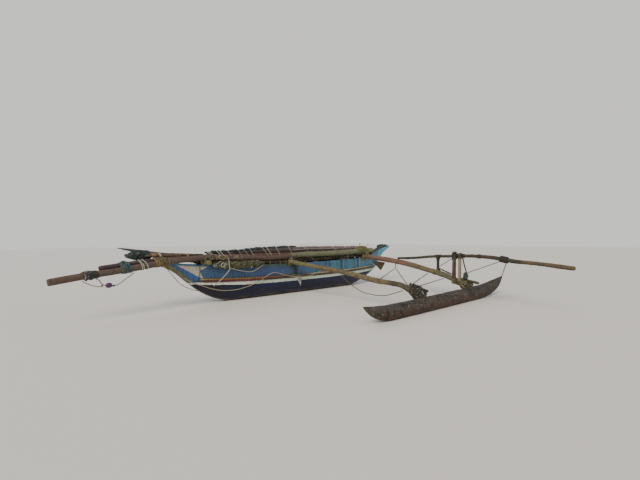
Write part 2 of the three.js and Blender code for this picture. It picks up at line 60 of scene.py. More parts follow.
def placeCamera(c):
    heading, pitch, roll = (math.radians(c[k]) for k in ("heading", "pitch", "roll"))
    right = Vector((math.cos(heading), math.sin(heading), 0))
    ahead = Vector((-math.sin(heading), math.cos(heading), 0))
    up = Vector((0, 0, 1))
    forward = ahead * math.cos(pitch) + up * math.sin(pitch)
    above = up * math.cos(pitch) - ahead * math.sin(pitch)
    side = right * math.cos(roll) + above * math.sin(roll)
    top = above * math.cos(roll) - right * math.sin(roll)
    camera = newObject("photoCamera", bpy.data.cameras.new("photoCamera"))
    turn = Matrix((side, top, -forward)).transposed().to_4x4()
    camera.matrix_world = Matrix.Translation(c["place"]) @ turn
    camera.data.sensor_width = c["sensor"]
    camera.data.lens = c["focalPixels"] / c["imageWidth"] * c["sensor"]
    camera.data.clip_end = 200
    bpy.context.scene.camera = camera


placeCamera(photoCamera)


# Colours and nodes

def linear(hexCode, alpha=1):
    parts = [int(hexCode[i:i + 2], 16) / 255 for i in (1, 3, 5)]
    return tuple(c / 12.92 if c <= 0.04045 else ((c + 0.055) / 1.055) ** 2.4 for c in parts) + (alpha,)


def socketOf(value):
    # a node given in place of a socket stands for its first output
    return value.outputs[0] if isinstance(value, bpy.types.Node) else value


def addNode(tree, kind, inputs=None, **settings):
    # kind goes without the words that all nodes of the tree's own sort begin with
    own = "ShaderNode" if tree.type == "SHADER" else "GeometryNode"
    node = tree.nodes.new(kind if "Node" in kind else own + kind)
    for key, value in settings.items():
        setattr(node, key, value)
    for key, value in (inputs or {}).items():
        value = socketOf(value)
        if isinstance(value, bpy.types.NodeSocket):
            tree.links.new(value, node.inputs[key])
        else:
            isColour = isinstance(value, str) and value.startswith("#")
            node.inputs[key].default_value = linear(value) if isColour else value
    return node


class Look:
    # a material being built: its tree, its shader and places in the piece's own space, in metres
    def __init__(self, name, roughness=0.7, ior=1.5):
        self.material = bpy.data.materials.new(name)
        self.material.use_nodes = True
        self.tree = self.material.node_tree
        self.shader = self.tree.nodes["Principled BSDF"]
        self.set("Roughness", roughness)
        self.set("IOR", ior)
        self.space = addNode(self.tree, "TexCoord").outputs["Object"]

    def set(self, name, value):
        value = socketOf(value)
        if isinstance(value, bpy.types.NodeSocket):
            self.tree.links.new(value, self.shader.inputs[name])
        else:
            self.shader.inputs[name].default_value = value

    def layered(self, base, *layers):
        # colours laid one over another: each layer is a share, a colour and, if not plain, how they mix.
        # A share may be several masks, which are multiplied together.
        for share, colour, *how in layers:
            masks = share if isinstance(share, tuple) else (share,)
            share = masks[0]
            for mask in masks[1:]:
                share = addNode(self.tree, "Math", {0: share, 1: mask}, operation="MULTIPLY")
            base = addNode(self.tree, "Mix", {0: share, 6: base, 7: colour}, data_type="RGBA",
                           blend_type=how[0] if how else "MIX").outputs[2]
        return base

    def grown(self, size, low=0.4, high=0.6, detail=5, rough=0.6, turn=0.0, offset=0.0):
        # noise of a real size in metres along each axis, turned about Z, spread to 0..1 between low and high
        size = (size,) * 3 if isinstance(size, (int, float)) else size
        place = addNode(self.tree, "Mapping", {
            "Vector": self.space, "Rotation": (0, 0, math.radians(turn)), "Scale": size,
            "Location": (offset, offset * 0.7, 0)}, vector_type="TEXTURE")
        field = addNode(self.tree, "TexNoise", {
            "Vector": place, "Scale": 1.0, "Detail": detail, "Roughness": rough})
        return addNode(self.tree, "MapRange", {
            "Value": field, "From Min": low, "From Max": high})

    def within(self, axis, low, high, fade=0.12):
        # 1 between two places along an axis, fading outside them
        place = addNode(self.tree, "SeparateXYZ", {0: self.space}).outputs[axis]
        after, before = (addNode(self.tree, "MapRange", {
            "Value": place, "From Min": start, "From Max": end})
            for start, end in ((low - fade, low), (high + fade, high)))
        return addNode(self.tree, "Math", {0: after, 1: before}, operation="MULTIPLY")

    def beyond(self, slopeX, slopeZ, offset, soft=0.004):
        # 1 where slopeX*x + slopeZ*z + offset is above nought: one straight brushed edge, seen from the side
        reach = addNode(self.tree, "VectorMath", {0: self.space, 1: (slopeX, 0, slopeZ)},
                        operation="DOT_PRODUCT")
        return addNode(self.tree, "MapRange", {
            "Value": reach.outputs["Value"], "From Min": -offset - soft, "From Max": soft - offset})

    def raised(self, *layers):
        # bumps; each is a height and how far it stands up in metres, below nought for cuts
        normal = None
        for height, distance in layers:
            inputs = {"Height": height, "Distance": abs(distance), "Strength": 1.0}
            if normal:
                inputs["Normal"] = normal
            normal = addNode(self.tree, "Bump", inputs, invert=distance < 0)
        self.set("Normal", normal)

    def painted(self, colour, chips=0.5, grime=0.5, under="#6d6152", chipSize=0.05, chalk=0.6):
        # brushed oil paint, chalky with age: dull sheen, brush marks, drips and chips down to grey wood
        brush = self.grown((0.22, 0.22, 0.004), 0.35, 0.65, 4)
        fade = self.grown((0.5, 0.5, 0.16), 0.35, 0.65, 4, offset=2.3)
        drip = self.grown((0.03, 0.03, 0.4), 0.5, 0.72, 4, offset=4.4)
        edge = 0.66 - 0.08 * chips
        fleck = self.grown(chipSize, edge, edge + 0.02, 8, 0.72, offset=6.1)
        where = self.grown((0.6, 0.6, 0.2), 0.42, 0.55, 3, 0.5, offset=8.9)
        chipped = addNode(self.tree, "Math", {0: fleck, 1: where}, operation="MULTIPLY")
        colour = self.layered(
            colour, ((fade, 0.28 * chalk), "#c9d3d6", "OVERLAY"), ((brush, 0.14 * chalk), "#e8e6df"),
            ((drip, grime), "#3a332a", "MULTIPLY"), (chipped, under))
        self.set("Roughness", addNode(self.tree, "MapRange", {
            "Value": chipped, "To Min": 0.46, "To Max": 0.85}))
        self.raised((brush, 0.0005), (chipped, -0.0012))
        return colour

    def finished(self, colour):
        self.set("Base Color", colour)
        return self.material


# Bare pole or board: weathered timber, dull and grey-brown, with fibres, splits and stains.
# turn is the grain's direction in degrees about Z from +X; axis "z" stands the grain up. A stain is a colour,
# its patches' size, its share, how much it leaves bare and, if not everywhere, an axis and two places on it.
def timberMaterial(name, dark, mid, light, turn=0.0, axis="x", stains=(), fibre=0.004, length=0.16, worn=0.5,
                   roughness=0.82, splits=0.8):
    look = Look(name, roughness)
    tree = look.tree

    def along(width, reach):
        return (width, width, reach) if axis == "z" else (reach, width, width)

    fine = look.grown(along(fibre, length), 0.3, 0.7, 6, 0.65, turn)
    broad = look.grown(along(0.03, 0.5), 0.35, 0.65, 4, 0.55, turn, 3.1)
    blotch = look.grown(0.12, 0.42, 0.62, 5, 0.6, turn, 7.7)
    check = look.grown(along(0.012, 0.45), 0, 1, 3, 0.5, turn, 11.3)
    crack = addNode(tree, "Math", {0: check, 1: 0.5, 2: 0.007}, operation="COMPARE")
    split = look.grown(along(0.2, 0.8), 0.46, 0.54, 2, 0.5, turn, 5.2)
    colour = look.layered(dark, (broad, mid), ((fine, 0.7), light), ((blotch, worn), mid, "MULTIPLY"))
    for index, (stain, size, share, start, *place) in enumerate(stains):
        patch = look.grown(size, start, start + 0.08, 6, 0.7, turn, 13.0 + 9 * index)
        where = [look.within(*place)] if place else []
        colour = look.layered(colour, ((patch, share, *where), stain))
    colour = look.layered(colour, ((crack, split, splits), "#17120e"))
    look.raised((fine, 0.0014), (broad, 0.004), (crack, -0.003))
    return look.finished(colour)


# Laid rope: strands wind round it, so the pattern reads the tube's own map (round, along)
def ropeMaterial(name, light, dark, pitch=0.06, strands=3, roughness=0.9):
    look = Look(name, roughness)
    tree = look.tree
    look.set("Sheen Weight", 0.05)
    surface = addNode(tree, "UVMap", uv_map="surface")
    wound = addNode(tree, "VectorMath", {0: surface, 1: (strands, -1 / pitch, 0)},
                    operation="DOT_PRODUCT").outputs["Value"]
    turned = addNode(tree, "Math", {0: wound, 1: 2 * math.pi}, operation="MULTIPLY")
    wave = addNode(tree, "Math", {0: turned}, operation="SINE")
    height = addNode(tree, "MapRange", {"Value": wave, "From Min": -1, "From Max": 0.6})
    fuzz = look.grown(0.0035, 0.35, 0.65, 5, 0.7)
    wear = look.grown(0.07, 0.4, 0.65, 4, offset=2.0)
    # the crests of the strands take the light colour and the grooves between them the dark one: painted shade
    # in the grooves
    colour = look.layered(dark, (height, light), ((wear, 0.45), dark), ((fuzz, 0.25), light))
    look.raised((height, 0.002), (fuzz, 0.001))
    return look.finished(colour)


# Bundled twine netting or canvas: soft folds and fine cord, no sheen but a little fuzz
def bundleMaterial(name, dark, mid, light, flecks):
    look = Look(name, 0.95)
    look.set("Sheen Weight", 0.06)
    strand = look.grown((0.16, 0.012, 0.012), 0.35, 0.65, 6, 0.65, 14)
    cross = look.grown((0.012, 0.05, 0.09), 0.4, 0.62, 5, 0.65, -31, 3.0)
    patch = look.grown(0.07, 0.42, 0.6, offset=6.0)
    twine = look.grown(0.018 * 0.3, 0.45, 0.6, 3, 0.5, 20, 9.0)
    colour = look.layered(dark, (strand, mid), ((cross, 0.6), light), ((patch, 0.6), dark),
                          ((twine, 0.35), light))
    fleck = look.grown((0.05, 0.014, 0.02), 0.6, 0.64, 4, 0.6, 40, 12.0)
    colour = look.layered(colour, (fleck, flecks))
    look.raised((strand, 0.004), (cross, 0.003), (twine, 0.002))
    return look.finished(colour)


# Paths and sweeps

def smoothPath(points, spacing):
    # the curve that the solids follow: centripetal, through every point
    p = np.array(points, float)
    p = p[np.concatenate([[True], np.linalg.norm(np.diff(p, axis=0), axis=1) > 1e-4])]
    p = np.vstack([2 * p[0] - p[1], p, 2 * p[-1] - p[-2]])
    line = []
    for a, b, c, d in zip(p, p[1:], p[2:], p[3:]):
        before, here, after = (math.sqrt(np.linalg.norm(y - x)) for x, y in ((a, b), (b, c), (c, d)))
        leave = ((b - a) / before - (c - a) / (before + here) + (c - b) / here) * here
        arrive = ((c - b) / here - (d - b) / (here + after) + (d - c) / after) * here
        count = max(1, round(np.linalg.norm(c - b) / spacing))
        for t in np.arange(count) / count:
            line.append((2 * t ** 3 - 3 * t ** 2 + 1) * b + (t ** 3 - 2 * t ** 2 + t) * leave
                        + (3 * t ** 2 - 2 * t ** 3) * c + (t ** 3 - t ** 2) * arrive)
    return np.array(line + [p[-2]])


def anglesOf(sides):
    return 2 * np.pi * np.arange(sides) / sides


def around(count):
    # directions round a circle
    angles = np.linspace(0, 2 * np.pi, count + 1)[:-1]
    return np.stack([np.cos(angles), np.sin(angles)], 1)


def distances(line):
    return np.concatenate([[0], np.cumsum(np.linalg.norm(np.diff(line, axis=0), axis=1))])


def evened(line, spacing):
    along = distances(line)
    at = np.linspace(0, along[-1], max(2, round(along[-1] / spacing) + 1))
    return np.stack([np.interp(at, along, line[:, k]) for k in range(3)], axis=1)


def sidesOf(line, looped=False):
    # two directions across the line at each point, carried along it without twisting
    steps = np.roll(line, -1, 0) - np.roll(line, 1, 0) if looped else np.gradient(line, axis=0)
    if np.linalg.norm(steps[0]) < 1e-6:
        steps[0] = (1, 0, 0)
    for i in range(1, len(steps)):
        if np.linalg.norm(steps[i]) < 1e-6:
            steps[i] = steps[i - 1]
    ahead = steps / np.linalg.norm(steps, axis=1)[:, None]
    start = np.cross(ahead[0], (0, 0, 1))
    if np.linalg.norm(start) < 0.2:
        start = np.cross(ahead[0], (1, 0, 0))
    first = [start / np.linalg.norm(start)]
    for direction in ahead[1:]:
        kept = first[-1] - direction * np.dot(first[-1], direction)
        if np.linalg.norm(kept) < 1e-4:
            kept = np.cross(direction, (0.31, 0.48, 0.82))
        first.append(kept / np.linalg.norm(kept))
    first = np.array(first)
    return first, np.cross(first, ahead), ahead


class Shape:
    # gathers points, faces and their surface map, then becomes one piece
    def __init__(self):
        self.points, self.faces, self.maps, self.paints = [], [], [], []

    def sweep(self, rings, along=None, paint=0, looped=False, chart=None):
        rings = np.asarray(rings, float)
        count, sides = rings.shape[:2]
        start = sum(len(p) for p in self.points)
        self.points.append(rings.reshape(-1, 3))
        if along is None:
            along = distances(rings.mean(axis=1))
        for r in range(count if looped else count - 1):
            s = (r + 1) % count
            far = along[r + 1] if r + 1 < count else along[-1] + (along[1] - along[0])
            for i in range(sides):
                j = (i + 1) % sides
                self.faces.append((start + r * sides + i, start + r * sides + j,
                                   start + s * sides + j, start + s * sides + i))
                if chart is None:
                    self.maps.append(((i / sides, along[r]), ((i + 1) / sides, along[r]),
                                      ((i + 1) / sides, far), (i / sides, far)))
                else:
                    self.maps.append((chart[r][i], chart[r][j], chart[s][j], chart[s][i]))
                self.paints.append(paint)
        if not looped:
            for r, order in ((0, 1), (count - 1, -1)):
                face = [start + r * sides + i for i in range(sides)][::-order]
                self.faces.append(tuple(face))
                self.maps.append(tuple((0.5 + 0.02 * math.cos(k), along[r]) for k in range(sides))
                                 if chart is None else tuple(chart[r][i - start - r * sides] for i in face))
                self.paints.append(paint)
        return self

    def tube(self, line, radius, sides=8, paint=0, strands=0, pitch=0.06, looped=False):
        line = np.asarray(line, float)
        first, second, ahead = sidesOf(line, looped=looped)
        along = distances(line)
        radius = np.broadcast_to(np.asarray(radius, float), (len(line),)).copy()
        angles = anglesOf(sides)
        if not looped:
            lead = ahead[0] * radius[0] * 0.45
            tail = ahead[-1] * radius[-1] * 0.45
            line = np.vstack([line[:1] - lead, line, line[-1:] + tail])
            along = np.concatenate([[along[0]], along, [along[-1]]])
            radius = np.concatenate([[radius[0] * 0.6], radius, [radius[-1] * 0.6]])
            first = np.vstack([first[:1], first, first[-1:]])
            second = np.vstack([second[:1], second, second[-1:]])
        size = np.broadcast_to(radius[:, None], (len(line), sides)).copy()
        if strands:
            size *= 1 + 0.13 * np.cos(strands * angles[None, :] - 2 * np.pi * along[:, None] / pitch)
        rings = (line[:, None] + first[:, None] * (np.cos(angles)[None, :, None] * size[:, :, None])
                 + second[:, None] * (np.sin(angles)[None, :, None] * size[:, :, None]))
        return self.sweep(rings, along, paint, looped=looped)

    def turnOver(self):
        self.faces = [face[::-1] for face in self.faces]
        self.maps = [corners[::-1] for corners in self.maps]

    def mesh(self, name):
        mesh = bpy.data.meshes.new(name)
        mesh.from_pydata(np.vstack(self.points).tolist(), [], self.faces)
        surface = mesh.uv_layers.new(name="surface")
        surface.data.foreach_set("uv", [c for face in self.maps for corner in face for c in corner])
        return mesh

    def piece(self, name, materials, slot, replaced=()):
        mesh = self.mesh(name)
        materials = [materials] if isinstance(materials, bpy.types.Material) else materials
        for material in materials:
            mesh.materials.append(material)
        mesh.polygons.foreach_set("material_index", self.paints)
        mesh.polygons.foreach_set("use_smooth", [True] * len(self.faces))
        mesh.update()
        return showPiece(newObject(name, mesh), replaced)


def showPiece(piece, replaced=()):
    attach(piece, "root")
    if replaced:
        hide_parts(*([replaced] if isinstance(replaced, str) else replaced))
    return piece


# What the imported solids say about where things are

cornersFound = {}


def cornersOf(node):
    if node not in cornersFound:
        mesh = nodes[node].data
        mesh.calc_loop_triangles()
        place = np.array([v.co for v in mesh.vertices], float)
        cornersFound[node] = place[np.array([t.vertices for t in mesh.loop_triangles])]
    return cornersFound[node]


def sliceOf(node, axis, value):
    # points where a solid's surface crosses a plane square to an axis
    corners = cornersOf(node)
    found = []
    for a, b in ((0, 1), (1, 2), (2, 0)):
        p, q = corners[:, a], corners[:, b]
        before, after = p[:, axis] - value, q[:, axis] - value
        hit = before * after < 0
        share = (before[hit] / (before[hit] - after[hit]))[:, None]
        found.append(p[hit] + (q[hit] - p[hit]) * share)
    return np.vstack(found)


def poleOf(node, axis, spacing=0.08):
    # centre line and radius of a timber, measured across an axis, one row every spacing
    low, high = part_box(node)
    margin = 0.03
    values = np.linspace(low[axis] + margin, high[axis] - margin,
                         max(3, round((high[axis] - low[axis]) / spacing)))
    slices = [sliceOf(node, axis, v) for v in values]
    line = np.array([(s.min(0) + s.max(0)) / 2 for s in slices])
    ahead = np.gradient(line, axis=0)
    ahead /= np.linalg.norm(ahead, axis=1)[:, None]
    radius = []
    for points, centre, direction in zip(slices, line, ahead):
        away = points - centre
        away -= np.outer(away @ direction, direction)
        size = np.linalg.norm(away, axis=1)
        radius.append((size.max() + size.mean()) / 2)
    radius = np.array(radius)
    line = np.vstack([line[:1] - ahead[:1] * margin, line, line[-1:] + ahead[-1:] * margin])
    radius = np.concatenate([radius[:1], radius, radius[-1:]])
    return line, radius


def endsOf(node):
    # middle of each end of a straight stay
    points = cornersOf(node).reshape(-1, 3)
    axis = int(np.argmax(points.max(0) - points.min(0)))
    low, high = points[:, axis].min(), points[:, axis].max()
    return [points[np.abs(points[:, axis] - v) < 0.012].mean(0) for v in (low, high)]


def crossSection(node, x):
    # a solid's outline across X, with its middle and its half sizes
    section = sliceOf(node, 0, x)[:, 1:]
    low, high = section.min(0), section.max(0)
    return section, (low + high) / 2, (high - low) / 2


def outlineRound(points, outward, normals, clear=0.0):
    # how far a tight wrapping lies from the middle along each outward direction
    support = (points @ normals.T).max(0) + clear
    facing = outward @ normals.T
    return np.where(facing > 0.05, support / np.maximum(facing, 0.05), 9).min(1)


# Ropes. The routes are those of the solids

ropeLook = dict(thick=0.02, sides=12, step=0.008, pitch=0.075)
# far end, lay, light and dark colours and route in millimetres
ropes = dict(
    slack_line=("object", "hanging", "#5d5646", "#2a261f", (
        (-510, -2170, 668), (-510, -2230, 596), (-510, -2400, 483), (-510, -2650, 357), (-510, -2890, 275),
        (-510, -3070, 254), (-510, -3300, 245), (-510, -3570, 272), (-510, -3800, 344), (-508, -3950, 396),
        (-505, -4030, 430))),
    tip_line=("knot", "hanging", "#a59c78", "#57503a", (
        (-6040, -352, 800), (-5990, -362, 758), (-5920, -369, 721), (-5850, -372, 690), (-5760, -373, 668),
        (-5695, -373, 658))),
    spar_loop=("object", "hanging", "#7d7460", "#38322a", (
        (-5792, -348, 826), (-5768, -358, 812), (-5740, -368, 788), (-5700, -371, 730), (-5660, -372, 690),
        (-5615, -372, 668), (-5560, -372, 660), (-5490, -372, 656), (-5420, -370, 664), (-5320, -368, 712),
        (-5225, -364, 782), (-5115, -356, 852), (-5050, -350, 894))),
    hull_line=("object", "loose", "#b4b092", "#6b664f", (
        (-3820, -84, 691), (-3730, -96, 625), (-3620, -112, 559), (-3490, -132, 502), (-3360, -150, 456),
        (-3240, -168, 407), (-3130, -185, 369), (-2900, -218, 308), (-2740, -240, 292), (-2590, -258, 286),
        (-2380, -277, 298), (-2210, -288, 328), (-2090, -288, 350), (-1910, -288, 402), (-1720, -282, 458),
        (-1580, -264, 522), (-1440, -252, 588), (-1300, -250, 636), (-1180, -250, 651), (-990, -250, 602),
        (-830, -252, 556), (-570, -264, 500), (-430, -330, 478), (-408, -480, 482), (-420, -650, 506),
        (-440, -880, 545), (-452, -1040, 602), (-470, -1210, 660), (-482, -1330, 700), (-492, -1440, 730))),
    stem_line=("object", "loose", "#a59c78", "#57503a", (
        (-4418, -356, 1010), (-4380, -338, 976), (-4300, -304, 915), (-4215, -278, 826), (-4095, -250, 690),
        (-3965, -225, 562), (-3800, -195, 462), (-3640, -165, 392), (-3520, -138, 356), (-3440, -105, 338),
        (-3395, -60, 320))),
    hang_line=("object", "hanging", "#c2c4b4", "#7f8071", (
        (-2722, -326, 1066), (-2713, -336, 992), (-2708, -341, 900), (-2694, -341, 846), (-2800, -312, 700),
        (-2880, -288, 615), (-2960, -262, 533), (-3090, -222, 436))),
    side_line=("object", "hanging", "#b4b092", "#6b664f", (
        (-2655, -341, 850), (-2480, -341, 803), (-2300, -340, 764), (-2120, -336, 733), (-1980, -328, 740),
        (-1850, -314, 782), (-1730, -298, 836), (-1600, -262, 884), (-1520, -216, 914))),
)
ropeKnots = dict(tip_line=(-5.690, -0.3725, 0.672), spar_loop=(-5.470, -0.3715, 0.662))


def knotShape(place, size, thick, seed, turns=5):
    # an overhand knot seen from outside: a few tight turns of the same rope round each other
    draw = random.Random(seed)
    shape = Shape()
    for _ in range(turns):
        normal = Vector((draw.uniform(-1, 1), draw.uniform(-1, 1), draw.uniform(-1, 1))).normalized()
        first = normal.orthogonal().normalized()
        second = normal.cross(first)
        ring = [Vector(place) + (first * math.cos(a) + second * math.sin(a) * 0.7) * size
                for a in np.linspace(0, 2 * math.pi, 17)[:-1]]
        shape.tube([tuple(p) for p in ring], thick, 6, looped=True)
    return shape


def makeRopes():
    for name, (far, lay, light, dark, route) in ropes.items():
        title = name.replace("_", "")
        route = smoothPath([[c / 1000 for c in place] for place in route], ropeLook["step"])
        shape = Shape().tube(route, ropeLook["thick"] / 2 * 0.94, ropeLook["sides"], strands=3,
                             pitch=ropeLook["pitch"])
        coat = ropeMaterial(name + "Coir", light, dark, ropeLook["pitch"])
        piece = shape.piece(title + "Rope", coat, "coir_rope", name)
        if name in ropeKnots:
            knot = knotShape(ropeKnots[name], 0.017, 0.010, seed=len(name))
            knot.piece(title + "Knot", coat, "coir_rope")
        if name == "spar_loop":
            makeBuoy()


def makeBuoy():
    # a small net float of hard plastic threaded on the loop: egg-shaped, scuffed, with worn rims
    low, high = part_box("loop_buoy")
    middle, half = (low + high) / 2, (high - low) / 2
    rings = []
    for t in np.linspace(-1, 1, 25):
        radius = 0.012 + (half.y - 0.012) * max(1 - abs(t) ** 2.6, 0) ** 0.5
        rings.append([(middle.x + t * half.x, middle.y + radius * across, middle.z + radius * up)
                      for across, up in around(32)])
    look = Look("netFloatPlastic", 0.42, 1.49)
    chalk = look.grown(0.03, 0.42, 0.6, 6, 0.7)
    scuff = look.grown((0.02, 0.004, 0.004), 0.6, 0.66, 5, 0.7)
    colour = look.layered("#3d1a3f", ((chalk, 0.5), "#5d3a5c"), ((scuff, 0.6), "#8f7f90"))
    look.raised((scuff, -0.0006), (chalk, 0.0008))
    return Shape().sweep(rings).piece("loopBuoy", look.finished(colour), "float_buoy", "loop_buoy")


makeRopes()
print("ropes made")


# Hull, from the same driving sizes as the solids, in metres

hull = dict(logNear=-3.62, logFar=3.56, hollowNear=-3.2, hollowFar=3.14, flatNear=-2.43, flatFar=2.05,
            lip=0.455, sheer=0.87, headNear=-5.08, headFar=4.42, seamNear=-3.4, seamFar=1.1,
            plank=0.03, gap=0.0004, board=0.034, station=0.04)


def over(value, exponent):
    return max(value, 0) ** exponent


def keelHeight(x):
    return 0.37 * over((hull["flatNear"] - x) / 1.02, 1.9) + 0.45 * over((x - hull["flatFar"]) / 1.4, 1.5)


def lipHeight(x):
    return hull["lip"] + 0.085 * (abs(x) / 3.45) ** 2.5


def fullness(x):
    return max(1 - 0.7 * (abs(x) / 3.6) ** 4, 0.25)


def sheerHeight(x):
    near = 0.11 * over(-x / 3.45, 2) + 0.172 * over((-x - 3.45) / 1.63, 2)
    far = 0.06 * over(x / 3.45, 2) + 0.32 * (1 - over((hull["headFar"] - max(x, 3.05)) / 1.37, 2))
    return hull["sheer"] + near + far


def lowHalf(x):
    return max(0.188 * fullness(x) - 0.008, 0.06)


def topHalf(x):
    return 0.185 - 0.11 * (abs(x) / 4.9) ** 2.5


def roundedTable(rows):
    line = smoothPath([(x, 0, z) for x, z in rows], 0.03)
    return lambda x: float(np.interp(x, line[:, 0], line[:, 2], left=-9, right=-9))


rakeNearRows = [(-5.08, 1.245), (-4.6, 1.11), (-4.16, 0.94), (-3.96, 0.82), (-3.76, 0.655), (-3.65, 0.565)]
rakeFarRows = [(3.59, 0.56), (3.7, 0.715), (3.85, 0.9), (4.14, 1.12), (4.42, 1.25)]
rakeNear, rakeFar = roundedTable(rakeNearRows), roundedTable(rakeFarRows)


def plankFoot(x):
    return max(lipHeight(x) + hull["gap"], rakeNear(x), rakeFar(x))


def plankFace(x, z):
    foot, top = plankFoot(x), sheerHeight(x)
    share = (z - foot) / max(top - foot, 1e-6)
    return lowHalf(x) + (topHalf(x) - lowHalf(x)) * share


def stationsFrom(start, end, spacing=None):
    return np.linspace(start, end, max(2, round((end - start) / (spacing or hull["station"])) + 1))


def unevenness(point, size, seed=0):
    return noise.noise(Vector(point) / size + Vector((seed * 7.1, seed * 3.3, 0)))


# The hollowed log

logProfile = dict(
    outer=[(0.095, 0), (0.185, 0.11), (0.248, 0.34), (0.262, 0.56), (0.242, 0.8), (0.205, 1)],
    inner=[(0.148, 1), (0.194, 0.8), (0.206, 0.5), (0.15, 0.27), (0.07, 0.2)],
)


def halfProfile(rows, spacing=0.022):
    line = smoothPath([(y, 0, share * hull["lip"]) for y, share in rows], spacing)
    return [(y, z / hull["lip"]) for y, _, z in line]


def makeLog():
    outer = [(0, 0), (0.05, 0)] + halfProfile(logProfile["outer"])
    inner = halfProfile(logProfile["inner"]) + [(0.035, 0.2), (0, 0.2)]
    outside = [(-y, h) for y, h in outer[:0:-1]] + outer
    inside = inner + [(-y, h) for y, h in inner[-2::-1]]
    rings, chart = [], []
    stations = np.concatenate([stationsFrom(hull["logNear"], hull["logFar"]),
                               hull["hollowNear"] + np.array([0.006, 0.03]),
                               hull["hollowFar"] - np.array([0.006, 0.03])])
    for x in np.unique(np.round(stations, 4)):
        low, lip, full = keelHeight(x), lipHeight(x), fullness(x)
        reach = min(x - hull["hollowNear"], hull["hollowFar"] - x)
        depth = min(max(reach / 0.12, 0), 1) ** 0.5
        narrow = 0.6 + 0.4 * depth
        ring = [(x, y * full, low + h * (lip - low)) for y, h in outside]
        for y, h in inside:
            z = lip + (low + h * (lip - low) - lip) * depth
            ring.append((x, y * full * narrow, z))
        ring = [(px, y + 0.003 * unevenness((px, y, z), 0.35, 1) * min(1, abs(y) * 12),
                 z + (0.003 * unevenness((px, y, z), 0.3, 2) if 0.03 < z - low and z < lip - 0.004 else 0))
                for px, y, z in ring]
        rings.append(ring)
        chart.append([(px, z - lip) for px, y, z in ring])
    shape = Shape().sweep(rings, chart=chart)
    outerFaces, sides = len(outside) - 1, len(rings[0])
    body = (len(rings) - 1) * sides
    shape.paints = [int(i < body and i % sides >= outerFaces) for i in range(len(shape.faces))]
    shape.piece("hollowLog", [logPaint(), logInside()], "navy_paint", "hollow_log")


def heightOnMap(tree):
    # the hull's own map runs along X and up from a plank's foot or the log's lip
    surface = addNode(tree, "UVMap", uv_map="surface")
    return addNode(tree, "SeparateXYZ", {0: surface}).outputs[1]


def logPaint():
    # navy gloss gone dull, a white band under the sewn seam, partly white paint and partly a painted
    # highlight where the side turns up, scraped bare along the bottom
    look = Look("navyHullPaint", 0.5)
    tree = look.tree
    fromLip = heightOnMap(tree)
    along, _, above = addNode(tree, "SeparateXYZ", {0: look.space}).outputs
    wobble = look.grown((0.12, 0.12, 0.04), 0.3, 0.7, 4)
    for value, spread in ((wobble, {"To Min": -0.006, "To Max": 0.006}), (along, {
            "From Min": -3.5, "From Max": -2.2, "To Min": 0.05, "To Max": 0.088})):
        shift = addNode(tree, "MapRange", {"Value": value, **spread})
        fromLip = addNode(tree, "Math", {0: fromLip, 1: shift}, operation="ADD")
    # white along the top of the log's side, where it turns upward under the seam: partly the log's white
    # stripe, partly a painted highlight
    white, black = (addNode(tree, "MapRange", {
        "Value": fromLip, "From Min": edge - 0.003, "From Max": edge + 0.003})
        for edge in (0, -0.033))
    look.set("Specular IOR Level", 0.3)
    band = look.layered("#dedcd4", (look.within(0, -1.6, 4.0, 0.9), "#bac6b2"))
    colour = look.layered("#11142f", (look.grown((0.8, 0.5, 0.12)), "#171c3a"),
                          ((look.within(0, -4.0, -2.95, 0.5), 0.6), "#20151c"),
                          ((black, look.within(0, -3.7, -2.1, 0.3)), "#0c0d12"), (white, band))
    colour = look.painted(colour, chips=0.6, grime=0.55, under="#4c443a", chipSize=0.06, chalk=0.15)
    rub = look.grown((0.35, 0.1, 0.05), 0.38, 0.6, 6, 0.65, offset=21.0)
    low = addNode(tree, "MapRange", {
        "Value": above, "From Min": 0.14, "From Max": 0.02, "To Max": 1.15})
    scraped = addNode(tree, "Math", {0: rub, 1: low}, operation="MULTIPLY")
    bare = look.layered("#3f352b", (look.grown((0.2, 0.01, 0.01), 0.35, 0.65), "#746452"))
    share = addNode(tree, "MapRange", {"Value": scraped, "From Min": 0.35, "From Max": 0.6})
    return look.finished(look.layered(colour, (share, bare)))


def logInside():
    # adzed hollow, tarred and sandy
    return timberMaterial("adzedHollow", "#2b231c", "#4a3d31", "#7d6d58", worn=0.5, fibre=0.008, length=0.2,
                          stains=[("#9a8a6c", 0.16, 0.5, 0.52)])


makeLog()
print("log made")


# Side planks, sewn to the log

plankLook = dict(rows=9, edge=0.004, waver=0.0025)


def plankRing(x, side):
    foot, top, thick, edge = plankFoot(x), sheerHeight(x), hull["plank"], plankLook["edge"]
    ring, chart = [], []
    for z in np.linspace(foot, top - edge, plankLook["rows"]):
        ring.append((plankFace(x, z), z))
    ring += [(topHalf(x) - edge, top), (topHalf(x) - thick + edge, top)]
    for z in np.linspace(top - edge, foot, plankLook["rows"]):
        ring.append((plankFace(x, z) - thick, z))
    waver = [plankLook["waver"] * unevenness((x, side, z), 0.45, 3) for _, z in ring]
    points = [(x, side * (y + w), z) for (y, z), w in zip(ring, waver)]
    return points, [(x, z - foot) for _, z in ring]


def makePlank(name, side, start, end, outside, inside, slot, node):
    stations = stationsFrom(start, end, 0.05)
    rings, charts = zip(*(plankRing(x, side) for x in stations))
    shape = Shape().sweep(rings, chart=charts)
    sides, body = len(rings[0]), (len(rings) - 1) * len(rings[0])
    outer = plankLook["rows"] + 1
    shape.paints = [int(i < body and i % sides >= outer) for i in range(len(shape.faces))]
    if side > 0:
        shape.turnOver()
    shape.piece(name, [outside, inside], slot, node)


